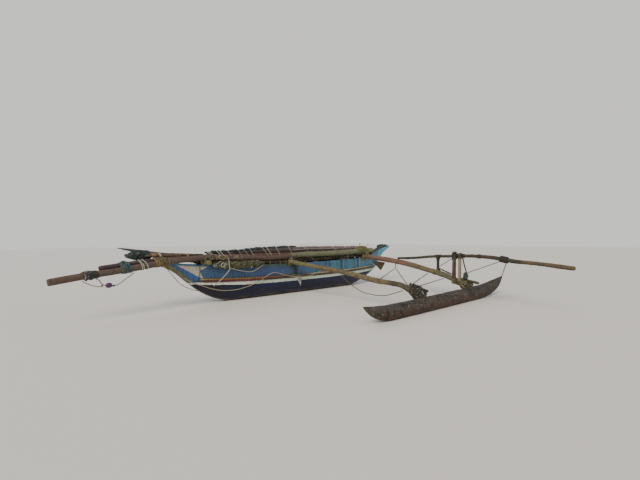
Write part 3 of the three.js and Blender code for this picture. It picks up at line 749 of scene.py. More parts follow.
def nearPlankPaint():
    # side paint with the stem's blue band, cream panel and the royal blue of the long side
    look = Look("sidePaint", 0.5)
    tree = look.tree
    aboveFoot = heightOnMap(tree)
    royal = look.layered("#173660", (look.grown((0.9, 0.6, 0.2), 0.38, 0.62), "#1f4578"))
    greener = look.within(2, 0.815, 1.2, 0.03)
    royal = look.layered(royal, ((greener, look.within(0, -1.6, -0.3, 0.4), 0.8), "#1c4540"),
                         ((look.within(0, -3.5, -2.4, 0.6), 0.45), "#1b5c80"),
                         ((look.within(0, 0.15, 9.0, 0.5), 0.8), "#215d7c"))
    cream = look.layered("#cbbfae", (look.grown((0.3, 0.3, 0.1), 0.4, 0.6), "#b9aea0"))
    # the cream panel is bounded by the blue band below, the pointed start of the blue and the strip on top
    overBand = look.beyond(0.555, 1, 1.222)
    underBlue = look.beyond(0.3877, -0.9217, 2.0827)
    pastPoint = look.beyond(0.876, 0.4823, 2.5946)
    strip = look.beyond(0.098, 1, -0.600)
    edge = look.beyond(0.098, 1, -0.582)
    colour = look.layered(cream, (edge, "#93a56a"), (strip, "#28618f"), ((underBlue, pastPoint), royal))
    colour = look.layered(colour, (look.within(0, -2.7, 9, 0.02), royal))
    below = addNode(tree, "Math", {0: 1.0, 1: overBand}, operation="SUBTRACT")
    bandBlue = look.layered("#1f5b98", (look.grown(0.06, 0.5, 0.62, 6, 0.7), "#1a4270"))
    colour = look.layered(colour, ((below, look.within(0, -9, -3.3, 0.02)), bandBlue))
    # the stem's yellow-green and orange edge is carried up onto the planks in ragged patches
    ragged = look.grown((0.07, 0.2, 0.05), 0.3, 0.7, 5, 0.65, 0, 9.0)
    lap = addNode(tree, "MapRange", {"Value": ragged, "To Min": 0.024, "To Max": 0.058})
    rim = addNode(tree, "Math", {0: aboveFoot, 1: lap}, operation="LESS_THAN")
    trim = look.layered("#8a9440", (look.grown((0.09, 0.2, 0.09), 0.5, 0.58, offset=4.0), "#ab7430"),
                        (look.grown((0.05, 0.2, 0.05), 0.56, 0.62, offset=12.0), "#414f2a"))
    colour = look.layered(colour, ((rim, look.within(0, -9, -3.62, 0.03)), trim))
    foot = addNode(tree, "MapRange", {"Value": aboveFoot, "From Min": 0.16, "From Max": 0.08})
    dirt = look.grown((0.16, 0.16, 0.05), 0.42, 0.6, 6, 0.65, 0, 31.0)
    colour = look.layered(colour, ((foot, dirt, 0.6), "#2c3b33"))
    return look.finished(look.painted(colour, chips=0.5, grime=0.5))


def farPlankPaint():
    # light teal of the far side, streaked dark where wet ropes hang
    look = Look("farSidePaint", 0.5)
    blue = look.layered("#1d6080", (look.grown((0.7, 0.5, 0.2), 0.38, 0.62), "#2f7c99"),
                        (look.within(0, 3.75, 9, 0.1), "#51aac2"))
    streak = look.grown((0.03, 0.5, 0.6), 0.52, 0.6, 4, offset=14.0)
    colour = look.layered(blue, ((streak, 0.8), "#15303a"),
                          ((look.within(0, 1.0, 1.7, 0.3), 0.6), "#22667c"))
    return look.finished(look.painted(colour, chips=0.5, grime=0.6))


def makePlanks():
    outside = dict(near=nearPlankPaint(), far=farPlankPaint())
    outside["mid"] = outside["near"]
    inside = timberMaterial("plankInside", "#33413f", "#5a5c50", "#8f8672", worn=0.4, fibre=0.006, length=0.3)
    slots = dict(near="cream_paint", mid="blue_paint", far="sky_paint")
    spans = dict(near=(hull["headNear"], hull["seamNear"] - hull["gap"]),
                 mid=(hull["seamNear"], hull["seamFar"] - hull["gap"]),
                 far=(hull["seamFar"], hull["headFar"]))
    for part, (start, end) in spans.items():
        for side, word in ((-1, "float_side"), (1, "off_side")):
            title = part + "Plank" + ("FloatSide" if side < 0 else "OffSide")
            makePlank(title, side, start, end, outside[part], inside, slots[part], f"plank_{part}_{word}")


makePlanks()
print("planks made")


# Batten over the seam: two laid strips, the upper ochre and the lower crimson, sewn through

battenLook = dict(start=-3.40, end=3.45, half=0.023, lift=0.003, sides=12)


def battenLine(side, row):
    # row 0 is the lower strip and 1 the upper one
    line = []
    for x in stationsFrom(battenLook["start"], battenLook["end"], 0.04):
        z = lipHeight(x) + battenLook["half"] * (1 + 2 * row)
        waver = 0.0015 * unevenness((x, side, row), 0.3, 5)
        face = plankFace(x, z) + battenLook["lift"] + battenLook["half"]
        line.append((x, side * (face + waver), z + waver))
    return np.array(line)


def battenPaint(name, dark, light, patches):
    look = Look(name, 0.55)
    colour = look.layered(dark, (look.grown((0.25, 0.04, 0.04), 0.38, 0.62), light), *[
        ((look.within(0, low, high, fade), look.grown((0.2, 0.05, 0.05), 0.3, 0.55, 4, 0.6, 0, seed),
          share), patch) for low, high, fade, patch, share, seed in patches])
    colour = look.painted(colour, chips=1.3, grime=0.5, under="#4a3b2c", chipSize=0.03)
    return look.finished(colour)


def makeBattens():
    ochre = battenPaint("ochreSeamPaint", "#8a5a26", "#a9762f", (
        (-3.6, -3.3, 0.08, "#9aa045", 0.95, 3.0), (-1.2, 0.2, 0.4, "#4f4230", 0.9, 5.0),
        # past x 0.3 the upper strip turns pale green-grey: partly its paint, partly a painted highlight along
        # its top
        (-0.5, -0.1, 0.1, "#4d5c38", 0.9, 9.0), (0.3, 9.0, 0.3, "#9fa587", 1.0, 2.0)))
    crimson = battenPaint("crimsonSeamPaint", "#5f1a1f", "#7e2226", (
        (-1.3, 9.0, 0.6, "#3f2f2c", 1.0, 4.0), (-0.4, 0.0, 0.15, "#3c4a30", 0.9, 8.0),
        (0.3, 9.0, 0.3, "#4a3d31", 0.9, 2.0)))
    for side, word in ((-1, "float_side"), (1, "off_side")):
        shape = Shape()
        for row in (0, 1):
            line = battenLine(side, row)
            tip = np.clip((line[:, 0] - battenLook["start"] + 0.02) / 0.16, 0, 1) ** 0.5
            shape.tube(line, (battenLook["half"] - 0.0005) * tip, battenLook["sides"], paint=row)
        title = "seamBatten" + ("FloatSide" if side < 0 else "OffSide")
        shape.piece(title, [crimson, ochre], "red_paint", "batten_" + word)


makeBattens()


# A raked board closes each end; a deck and head block lie between the planks

def makeEndBoard(name, rake, ends, material, slot, node):
    stations = stationsFrom(ends[0], ends[1], 0.03)
    line = np.array([(x, 0, rake(x)) for x in stations])
    slope = np.gradient(line, axis=0)
    slope /= np.linalg.norm(slope, axis=1)[:, None]
    rings = []
    for (x, _, z), ahead in zip(line, slope):
        out = Vector((ahead[2], 0, -abs(ahead[0])))
        half = lowHalf(x) + 0.007
        section = [(hull["gap"], half), (0.012, half + 0.001), (0.026, half - 0.006), (0.034, half * 0.55)]
        section = [(hull["gap"], -half)] + section + [(0.037, 0)] + [(d, -y) for d, y in section[:0:-1]]
        rings.append([(x + out.x * d, y, z + out.z * d) for d, y in section])
    Shape().sweep(rings).piece(name, material, slot, node)


def stemPaint():
    # stem edge in worn yellow-green with orange patches, darker down its middle: painted shade for the stem's
    # underside
    look = Look("stemPaint", 0.6)
    patch = look.grown((0.09, 0.2, 0.09), 0.47, 0.56, 6, 0.65, 0, 4.0)
    second = look.grown((0.07, 0.2, 0.07), 0.52, 0.6, 6, 0.65, 0, 9.0)
    # the dark olive down the middle of the edge is painted shade, the stem's underside
    under = look.within(1, -0.045, 0.045, 0.03)
    colour = look.layered("#7f8c3e", (patch, "#a3702f"), (second, "#4d5a2c"), (under, "#2b2a1c"))
    colour = look.painted(colour, chips=1.2, grime=0.7, under="#3b3327", chipSize=0.04)
    return look.finished(colour)


def makeEnds():
    makeEndBoard("nearEndBoard", rakeNear, (hull["headNear"], -3.65), stemPaint(), "stem_paint",
                 "end_board_near")
    look = Look("farStemPaint", 0.5)
    colour = look.layered("#62b5c9", (look.grown(0.1, 0.45, 0.6, 6, 0.65), "#86c9d6"))
    paint = look.finished(look.painted(colour, chips=0.8))
    makeEndBoard("farEndBoard", rakeFar, (3.59, hull["headFar"]), paint, "sky_paint", "end_board_far")


makeEnds()
print("ends made")


# Round timbers: measured along the solids, then given swells, knots and hewn ends

timberLook = dict(step=0.022, smooth=3, knot=(0.05, 0.008), taper=(0.12, 0.012))


def makeTimber(node, axis, name, material, slot, sides, swell, knots, seed):
    line, radius = poleOf(node, axis)
    for _ in range(timberLook["smooth"]):
        line[1:-1] = (line[:-2] + 2 * line[1:-1] + line[2:]) / 4
        radius[1:-1] = (radius[:-2] + 2 * radius[1:-1] + radius[2:]) / 4
    along = distances(line)
    fine = evened(smoothPath(line, timberLook["step"]), timberLook["step"])
    reach = distances(fine)
    radius = np.interp(reach, along * reach[-1] / along[-1], radius)
    draw = random.Random(seed)
    knotPlaces = [(draw.uniform(0.15, reach[-1] - 0.15), draw.uniform(0, 2 * math.pi), draw.uniform(0.7, 1.3))
                  for _ in range(knots)]
    first, second, ahead = sidesOf(fine)
    wide, high = timberLook["knot"]
    narrower, hewn = timberLook["taper"]
    rings = []
    for i, (centre, r) in enumerate(zip(fine, radius)):
        end = min(reach[i], reach[-1] - reach[i])
        r = r * (1 - narrower * max(0, 1 - end / hewn))
        ring = []
        for a in anglesOf(sides):
            direction = first[i] * math.cos(a) + second[i] * math.sin(a)
            place = centre + direction * r
            broad, fineness = unevenness(place, 0.22, seed), unevenness(place, 0.06, seed + 1)
            size = r * (1 + swell * broad + 0.4 * swell * fineness)
            for at, turn, big in knotPlaces:
                away = (reach[i] - at) ** 2 + (r * ((a - turn + math.pi) % (2 * math.pi) - math.pi)) ** 2
                size += high * big * math.exp(-away / (wide * big) ** 2)
            ring.append(tuple(centre + direction * size))
        rings.append(ring)
    return Shape().sweep(rings, reach).piece(name, material, slot, node)


def makeTimbers():
    nearWood = timberMaterial("nearBoomPole", "#3f3826", "#6a5e43", "#958a68", turn=-88, stains=[
        ("#6f7343", 0.2, 0.7, 0.42, 1, -1.1, 0.5),
        ("#6b4a38", 0.12, 0.5, 0.5, 1, -2.1, -1.2),
        ("#3c3a2e", 0.3, 0.8, 0.35, 1, -4.7, -3.7),
        ("#20170f", 0.05, 0.8, 0.6)])
    farWood = timberMaterial("farBoomPole", "#45382b", "#6f5c47", "#9a866a", turn=-104, stains=[
        ("#80584c", 0.16, 0.6, 0.44, 1, -2.6, -0.9),
        ("#7d6242", 0.1, 0.5, 0.5, 1, -3.4, -2.4),
        ("#5c6740", 0.14, 0.7, 0.46, 1, -3.9, -2.4),
        ("#595e4a", 0.3, 0.8, 0.36, 1, -4.8, -3.7),
        ("#241a12", 0.05, 0.8, 0.6)])
    poleWood = timberMaterial("outboardPoleWood", "#26241d", "#423d2f", "#6e6851", turn=-104, stains=[
        ("#2f3533", 0.2, 0.85, 0.35, 1, -2.9, -1.8),
        ("#4c302c", 0.12, 0.7, 0.42, 1, -4.8, -4.2),
        ("#4b3a2c", 0.16, 0.7, 0.42, 1, -5.4, -4.8),
        ("#2c382e", 0.14, 0.8, 0.4, 1, -6.0, -5.3),
        ("#6a5640", 0.14, 0.7, 0.4, 1, -7.1, -6.0)])
    spar = timberMaterial("longSparWood", "#3f3b2f", "#6b664f", "#9c967a", turn=0, stains=[
        ("#58453d", 0.3, 0.85, 0.3, 0, -6.7, -0.7),
        ("#737a5c", 0.25, 0.8, 0.36, 0, -0.2, 3.4),
        ("#23201a", 0.06, 0.75, 0.58)])
    purple = timberMaterial("innerSparWood", "#2d2125", "#45343a", "#705c5e", turn=0, stains=[
        ("#6e4f3c", 0.3, 0.7, 0.4, 0, -4.3, 3.5)])
    brown = timberMaterial("barePoleWood", "#3a2c20", "#5f4b38", "#8c765c", turn=0, stains=[
        ("#7b6465", 0.3, 0.9, 0.15, 0, 2.6, 3.6),
        ("#4c3a26", 0.2, 0.6, 0.42, 0, -2.6, 0.0)])
    upright = timberMaterial("postWood", "#2a1c17", "#47302a", "#75594a", axis="z", stains=[
        ("#5d6440", 0.12, 0.9, 0.3, 2, 1.08, 1.4),
        ("#5a2f28", 0.1, 0.6, 0.45, 2, 0.4, 0.75)])
    inner = timberMaterial("blackenedPostWood", "#17130f", "#2c2620", "#4d4438", axis="z")
    pale = timberMaterial("palePostWood", "#5c5545", "#857b66", "#aaa08a", axis="z")
    dark = timberMaterial("tarredWood", "#191715", "#2d2a26", "#4d4740", turn=-90)
    rows = (
        ("near_boom", 1, "nearBoom", nearWood, "tan_wood", 24, 0.05, 9),
        ("far_boom", 1, "farBoom", farWood, "tan_wood", 24, 0.05, 10),
        ("outboard_pole", 1, "outboardPole", poleWood, "brown_wood", 18, 0.05, 8),
        ("long_spar", 0, "longSpar", spar, "olive_wood", 24, 0.035, 8),
        ("inner_spar", 0, "innerSpar", purple, "brown_wood", 20, 0.03, 6),
        ("outer_spar", 0, "outerSpar", brown, "brown_wood", 20, 0.03, 5),
        ("spar_crutch", 1, "sparCrutch", nearWood, "brown_wood", 20, 0.04, 2),
        ("rail_float_side", 0, "floatSideRail", brown, "brown_wood", 14, 0.05, 7),
        ("rail_off_side", 0, "offSideRail", brown, "brown_wood", 14, 0.05, 7),
        ("post_inner", 2, "innerPost", inner, "brown_wood", 14, 0.04, 1),
        ("post_main", 2, "mainPost", upright, "brown_wood", 18, 0.05, 3),
        ("post_back", 2, "backPost", pale, "brown_wood", 14, 0.05, 2),
        ("peg_near", 1, "nearPeg", dark, "dark_rope", 14, 0.05, 0),
        ("peg_far", 1, "farPeg", nearWood, "brown_wood", 14, 0.05, 0),
        ("post_strut", 1, "postStrut", dark, "brown_wood", 12, 0.05, 0),
    )
    for seed, (node, axis, name, material, slot, sides, swell, knots) in enumerate(rows):
        makeTimber(node, axis, name, material, slot, sides, swell, knots, seed + 3)


makeTimbers()
print("timbers made")


# The float: one solid log, hewn to a rising point at each end

floatLook = dict(sides=40, step=0.03, rough=0.007, grain=0.003)


def makeFloat():
    low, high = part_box("float")
    stations = np.linspace(low.x + 0.004, high.x - 0.004, round((high.x - low.x) / floatLook["step"]))
    angles = anglesOf(floatLook["sides"])
    outward, normals = np.stack([np.cos(angles), np.sin(angles)], axis=1), around(180)
    rings = []
    for x in stations:
        section, centre, _ = crossSection("float", x)
        reach = outlineRound(section - centre, outward, normals)
        rings.append(np.column_stack([np.full(len(angles), x), centre + outward * reach[:, None]]))
    rings = np.array(rings)
    for _ in range(9):
        rings[1:-1, :, 1:] = (rings[:-2, :, 1:] + 2 * rings[1:-1, :, 1:] + rings[2:, :, 1:]) / 4
    for _ in range(2):
        rings[:, :, 1:] = (np.roll(rings, 1, 1) + 4 * rings + np.roll(rings, -1, 1))[:, :, 1:] / 6
    for ring in rings:
        centre = ring.mean(0)
        for point in ring:
            out = point - centre
            lift = floatLook["rough"] * unevenness(point, 0.3, 2) + floatLook["grain"] * unevenness(
                (point[0] * 0.25, point[1], point[2]), 0.05, 3)
            point += out / max(np.linalg.norm(out), 1e-6) * lift
            point[2] = max(point[2], 0.0004)
    material = timberMaterial("weatheredFloatLog", "#211d1a", "#3b332c", "#6e6558", fibre=0.007, length=0.3,
                              splits=1.0, stains=[
        # the pale grey mottling all over the log is a painted highlight
        ("#8f8c82", 0.05, 0.75, 0.57), ("#4f3222", 0.15, 0.7, 0.42, 2, -1, 0.14, 0.08),
        ("#15130f", 0.18, 0.7, 0.52)])
    Shape().sweep(rings).piece("floatLog", material, "float_wood", "float")


makeFloat()


# Cord turns, pulled tight round what they bind

def skinOf(*names):
    # triangles of finished pieces or solids, to lay things against
    found = []
    for name in names:
        mesh = (nodes.get(name) or bpy.data.objects[name]).data
        mesh.calc_loop_triangles()
        place = np.array([v.co for v in mesh.vertices], float)
        found.append(place[np.array([t.vertices for t in mesh.loop_triangles])])
    return np.vstack(found)


def unit(vector):
    return np.asarray(vector, float) / np.linalg.norm(vector)


circle = around(120)


def tightTurn(skin, centre, normal, clear, reach, count=36):
    centre, normal = np.asarray(centre, float), unit(normal)
    first = unit(np.cross(normal, (0.31, 0.22, 0.93)))
    second = np.cross(normal, first)
    height = (skin - centre) @ normal
    found = []
    for a, b in ((0, 1), (1, 2), (2, 0)):
        hit = height[:, a] * height[:, b] < 0
        share = (height[hit, a] / (height[hit, a] - height[hit, b]))[:, None]
        found.append(skin[hit, a] + (skin[hit, b] - skin[hit, a]) * share)
    found = np.vstack(found) - centre
    flat = np.stack([found @ first, found @ second], 1)
    flat = flat[np.linalg.norm(flat, axis=1) < reach]
    if len(flat) < 3:
        return None
    middle = (flat.min(0) + flat.max(0)) / 2
    outward = circle[:: len(circle) // count][:count]
    out = middle + outward * outlineRound(flat - middle, outward, circle, clear)[:, None]
    return centre + out[:, :1] * first + out[:, 1:] * second


def lash(shape, skin, centre, axes, cord, turns, spread=None, lean=0.12, reach=0.3, layers=1, seed=1,
         paint=0):
    # turns side by side along each axis; a second layer rides over the first
    draw = random.Random(seed)
    spread = spread or cord * 2.1
    for layer in range(layers):
        for axis in axes:
            axis = unit(axis)
            for k in range(turns - layer):
                at = np.asarray(centre, float) + axis * ((k - (turns - layer - 1) / 2) * spread
                                                         + draw.uniform(-0.2, 0.2) * spread)
                tilt = axis + lean * np.array([draw.uniform(-1, 1) for _ in range(3)])
                line = tightTurn(skin, at, tilt, cord * (0.75 + 1.6 * layer + draw.uniform(0, 0.5)), reach)
                if line is not None:
                    shape.tube(line, cord * draw.uniform(0.88, 1.06), 6, paint, looped=True)


def crawl(shape, tree, start, heading, length, cord, seed, wander, paint, lift=0.6, step=0.016):
    # a slack cord that follows a surface
    draw = random.Random(seed)
    place, heading, turn = Vector(start), Vector(heading).normalized(), 0.0
    line = []
    for _ in range(int(length / step)):
        found, normal, _, _ = tree.find_nearest(place)
        if found is None:
            break
        line.append(found + normal * cord * lift)
        heading = (heading - normal * heading.dot(normal)).normalized()
        turn = 0.75 * turn + draw.uniform(-wander, wander)
        heading.rotate(Matrix.Rotation(turn * 0.5, 3, normal))
        place = found + heading * step
    if len(line) > 4:
        line = np.array([tuple(p) for p in line])
        line[1:-1] = (line[:-2] + 2 * line[1:-1] + line[2:]) / 4
        shape.tube(line, cord, 5, paint)


def treeOf(skin):
    return BVHTree.FromPolygons([Vector(p) for p in skin.reshape(-1, 3)],
                                [(3 * i, 3 * i + 1, 3 * i + 2) for i in range(len(skin))])


def onSkin(tree, places, lift=0.008):
    # places brought onto a surface and lifted off it by half a cord
    found = (tree.find_nearest(Vector(place)) for place in places)
    return [tuple(place + normal * lift) for place, normal, _, _ in found]


def strew(shape, skin, count, length, cord, seed, paints, heading=None, wander=0.5):
    # many slack cords started anywhere on a skin
    tree, draw = treeOf(skin), random.Random(seed)
    edges = np.cross(skin[:, 1] - skin[:, 0], skin[:, 2] - skin[:, 0])
    area = np.linalg.norm(edges, axis=1).cumsum()
    for k in range(count):
        corners = skin[int(np.searchsorted(area, draw.uniform(0, area[-1])))]
        ahead = heading or [draw.uniform(-1, 1) for _ in range(3)]
        crawl(shape, tree, corners.mean(0), ahead, length * draw.uniform(0.6, 1.3),
              cord * draw.uniform(0.8, 1.2), seed * 100 + k, wander, paints[k % len(paints)])


# Soft lumps and worked boards start from their solids

def mergedCopy(node, name):
    mesh = nodes[node].data.copy()
    shell = bmesh.new()
    shell.from_mesh(mesh)
    bmesh.ops.remove_doubles(shell, verts=shell.verts, dist=1e-5)
    shell.to_mesh(mesh)
    shell.free()
    mesh.materials.clear()
    return newObject(name, mesh)


def bake(piece):
    # what the modifiers make, as a plain mesh
    made = bpy.data.meshes.new_from_object(piece.evaluated_get(bpy.context.evaluated_depsgraph_get()))
    piece.modifiers.clear()
    piece.data = made
    made.polygons.foreach_set("use_smooth", [True] * len(made.polygons))
    return piece


def nodeTree(title, sockets):
    tree = bpy.data.node_groups.new(title, "GeometryNodeTree")
    tree.interface.new_socket("Geometry", in_out="OUTPUT", socket_type="NodeSocketGeometry")
    for name, kind in (("Geometry", "Geometry"), *sockets):
        tree.interface.new_socket(name, in_out="INPUT", socket_type="NodeSocket" + kind)
    return tree, addNode(tree, "NodeGroupInput").outputs, addNode(tree, "NodeGroupOutput").inputs[0]


def growOn(piece, tree, values):
    # runs a tree on a piece and keeps what it makes
    modifier = piece.modifiers.new(tree.name, "NODES")
    modifier.node_group = tree
    for item in tree.interface.items_tree:
        if item.in_out == "INPUT" and item.name in values:
            modifier[item.identifier] = values[item.name]
    return bake(piece)


def softCopy(node, name, material, slot, voxel, folds, foldSize, seed, inset=0.006, slant=0.0):
    # a heap of net or cloth: the solid's own room, drawn into creases
    piece = mergedCopy(node, name)
    remesh = piece.modifiers.new("remesh", "REMESH")
    remesh.mode, remesh.voxel_size = "VOXEL", voxel
    bake(piece)
    mesh = piece.data
    normals = np.array([v.normal for v in mesh.vertices])
    place = np.array([v.co for v in mesh.vertices])
    turned = Matrix.Rotation(slant, 3, "Y")
    for i, (p, n) in enumerate(zip(place, normals)):
        q = turned @ Vector(p)
        scaled = Vector([c / size for c, size in zip(q, foldSize)]) + Vector((seed * 3.7, 0, 0))
        crease = 1 - 2.6 * abs(noise.noise(scaled)) - 1.1 * abs(noise.noise(scaled * 2.1))
        lift = folds * (crease - 0.35) + 0.004 * noise.noise(Vector(p) / 0.02) - inset
        place[i] = p + n * min(lift, folds * 0.5)
    mesh.vertices.foreach_set("co", place.ravel())
    mesh.update()
    mesh.materials.append(material)
    return showPiece(piece, node)


def workedBoard(node, name, material, edge):
    # a sawn or hewn piece with its arrises worn off
    piece = mergedCopy(node, name)
    bevel = piece.modifiers.new("arris", "BEVEL")
    bevel.width, bevel.segments, bevel.limit_method, bevel.angle_limit = edge, 3, "ANGLE", math.radians(30)
    bake(piece)
    mesh = piece.data
    for v in mesh.vertices:
        v.co += v.normal * 0.0015 * unevenness(v.co, 0.1, 3)
    mesh.materials.append(material)
    return showPiece(piece, node)


def twineMaterial(name, dark, light):
    # thin braided twine, stiff with salt
    look = Look(name, 0.85)
    braid = look.grown(0.003, 0.35, 0.65, 3)
    worn = look.grown(0.06, 0.42, 0.6, 4, offset=4.0)
    look.raised((braid, 0.0006))
    return look.finished(look.layered(dark, ((braid, 0.5), light), (worn, light)))


coir = {name: ropeMaterial(title, light, dark, 0.05) for name, title, light, dark in (
    ("straw", "strawCoir", "#978b62", "#4c412b"), ("tan", "tanCoir", "#9a8158", "#5a4629"),
    ("pale", "bleachedNylon", "#c9c9bb", "#85867a"), ("olive", "oliveCoir", "#7f7f58", "#3f3d29"),
    ("dark", "tarredCoir", "#4a443a", "#1d1a17"), ("teal", "tealNylon", "#557371", "#22393b"),
    ("green", "darkGreenNylon", "#33483d", "#141f1b"))}
coir.update(flat=twineMaterial("tarredNetTwine", "#16201f", "#4c6563"),
            bleached=twineMaterial("bleachedNetTwine", "#5c5f45", "#a9aa86"))
nets = {name: bundleMaterial(title, *colours) for name, title, *colours in (
    ("teal", "tealTwineNet", "#0e1719", "#25393c", "#557573", "#9fb0a8"),
    ("black", "blackTwineNet", "#0a0f10", "#182426", "#3f5352", "#86948e"),
    ("olive", "oliveTwineNet", "#12120b", "#2e2f1e", "#68664a", "#b5b08c"),
    ("straw", "coirTangle", "#2a2418", "#4d4430", "#857953", "#b8b088"),
    # the tarred tangle is near black: under the float lashings' rope turns it is painted shade, the dark of
    # the gaps between turns
    ("tarred", "tarredTangle", "#0c0e0e", "#232726", "#545b57", "#b4bab2"))}
print("soft materials made")


def foldedRing(x, middle, half, sides, fold):
    # a slice across X of gathered net: an oval that wanders with its folds, which are given by
    # their depth, their stretch along X, how far apart they lie round the oval, their size and a seed
    depth, stretch, apart, size, seed = fold
    ring = []
    for a in anglesOf(sides):
        across, up = math.cos(a), math.sin(a)
        swell = 1 + depth * unevenness((x * stretch, across * apart, up * apart), size, seed)
        ring.append((x, middle[0] + half[0] * swell * across, middle[1] + half[1] * swell * up))
    return ring


def closing(x, start, end, reach):
    # draws a lump in towards both its ends
    return min(max(x - start, 0.002) / reach, max(end - x, 0.002) / reach, 1) ** 0.5


# Sewing: stitches spaced along a seam, each leaning its own way, square to the surface they close

sewing = dict(radius=0.0032, spacing=0.085, wander=0.006, lean=0.22, seed=7, jointSpacing=0.045)


def stitchTree():
    tree, given, result = nodeTree("stitchesAlongSeam", (
        ("Stitch", "Object"), ("Spacing", "Float"), ("Wander", "Float"), ("Lean", "Float"), ("Seed", "Int"),
        ("Cord", "Material")))
    path = addNode(tree, "MeshToCurve", {"Mesh": given["Geometry"]})
    even = addNode(tree, "ResampleCurve", {"Curve": path, "Length": given["Spacing"]},
                   mode="LENGTH")
    ahead = addNode(tree, "InputTangent")
    outward = addNode(tree, "InputNamedAttribute", {"Name": "outward"}, data_type="FLOAT_VECTOR")
    # how far each stitch strays along the seam, and how far it leans
    stray, angle = (addNode(tree, "ShaderNodeMath", {
        0: addNode(tree, "FunctionNodeRandomValue", {2: -1.0, 3: 1.0, "Seed": given["Seed"]}).outputs[1],
        1: given[name]}, operation="MULTIPLY") for name in ("Wander", "Lean"))
    shift = addNode(tree, "ShaderNodeVectorMath", {0: ahead, "Scale": stray}, operation="SCALE")
    moved = addNode(tree, "SetPosition", {"Geometry": even, "Offset": shift})
    along = addNode(tree, "FunctionNodeAlignRotationToVector", {"Vector": ahead}, axis="X")
    facing = addNode(tree, "FunctionNodeAlignRotationToVector", {
        "Rotation": along, "Vector": outward}, axis="Z", pivot_axis="X")
    leaning = addNode(tree, "ShaderNodeCombineXYZ", {"Z": angle})
    tilt = addNode(tree, "FunctionNodeEulerToRotation", {0: leaning})
    turned = addNode(tree, "FunctionNodeRotateRotation", {"Rotation": facing, "Rotate By": tilt},
                     rotation_space="LOCAL")
    stitch = addNode(tree, "ObjectInfo", {"Object": given["Stitch"]})
    placed = addNode(tree, "InstanceOnPoints", {
        "Points": moved, "Instance": stitch.outputs["Geometry"], "Rotation": turned})
    whole = addNode(tree, "RealizeInstances", {0: placed})
    dressed = addNode(tree, "SetMaterial", {"Geometry": whole, "Material": given["Cord"]})
    tree.links.new(dressed.outputs[0], result)
    return tree


def stitchShape(name, section):
    # two turns of cord over a section, given from one side to the middle as rows of across and out
    shape = Shape()
    section = section + [(-across, out) for across, out in section[-2::-1]]
    for shift, slope in ((-0.004, 0.10), (0.0045, -0.06)):
        line = smoothPath([(shift + slope * across, across, out) for across, out in section], 0.012)
        shape.tube(line, sewing["radius"], 5)
    return newObject(name, shape.mesh(name))


def sewSeams(name, stitch, lines, spacing, material):
    points, edges, outward = [], [], []
    for line, out in lines:
        edges += [(len(points) + i, len(points) + i + 1) for i in range(len(line) - 1)]
        points += [tuple(p) for p in line]
        outward += [out] * len(line)
    mesh = bpy.data.meshes.new(name)
    mesh.from_pydata(points, edges, [])
    mesh.attributes.new("outward", "FLOAT_VECTOR", "POINT").data.foreach_set(
        "vector", [c for out in outward for c in out])
    seam = newObject(name, mesh)
    growOn(seam, stitchTree(), dict(Stitch=stitch, Spacing=spacing, Wander=sewing["wander"],
                                    Lean=sewing["lean"], Seed=sewing["seed"], Cord=material))
    bpy.data.objects.remove(stitch)
    showPiece(seam)


def makeSewing():
    overBatten = stitchShape("battenStitch", [
        (0.062, -0.004), (0.055, 0.004), (0.047, 0.030), (0.026, 0.0545), (0.0, 0.046)])
    seams = []
    for side in (-1, 1):
        low, high = battenLine(side, 0), battenLine(side, 1)
        middle = (low + high) / 2
        middle[:, 1] -= side * (battenLook["half"] + battenLook["lift"])
        seams.append((middle[3:-2], (0.0, float(side), 0.0)))
    sewSeams("seamStitches", overBatten, seams, sewing["spacing"], coir["dark"])
    acrossJoint = stitchShape("jointStitch", [(0.026, -0.005), (0.022, 0.004), (0.010, 0.0065), (0.0, 0.007)])
    joints = []
    for x in (hull["seamNear"], hull["seamFar"]):
        for side in (-1, 1):
            heights = np.linspace(plankFoot(x) + 0.10, sheerHeight(x) - 0.03, 9)
            joints.append(([(x, side * plankFace(x, z), z) for z in heights], (0.0, float(side), 0.0)))
    sewSeams("jointStitches", acrossJoint, joints, sewing["jointSpacing"], coir["dark"])


makeSewing()
print("sewing made")


# Knotted twine mesh drawn over a bundle: cells, slack and missing meshes

twineNet = dict(values=dict(Twine=0.0016, Knot=0.0034, Lift=0.004, Slack=0.012, Kept=0.88),
                lean=dict(X=0.5, Y=0.78, Z=0.3))


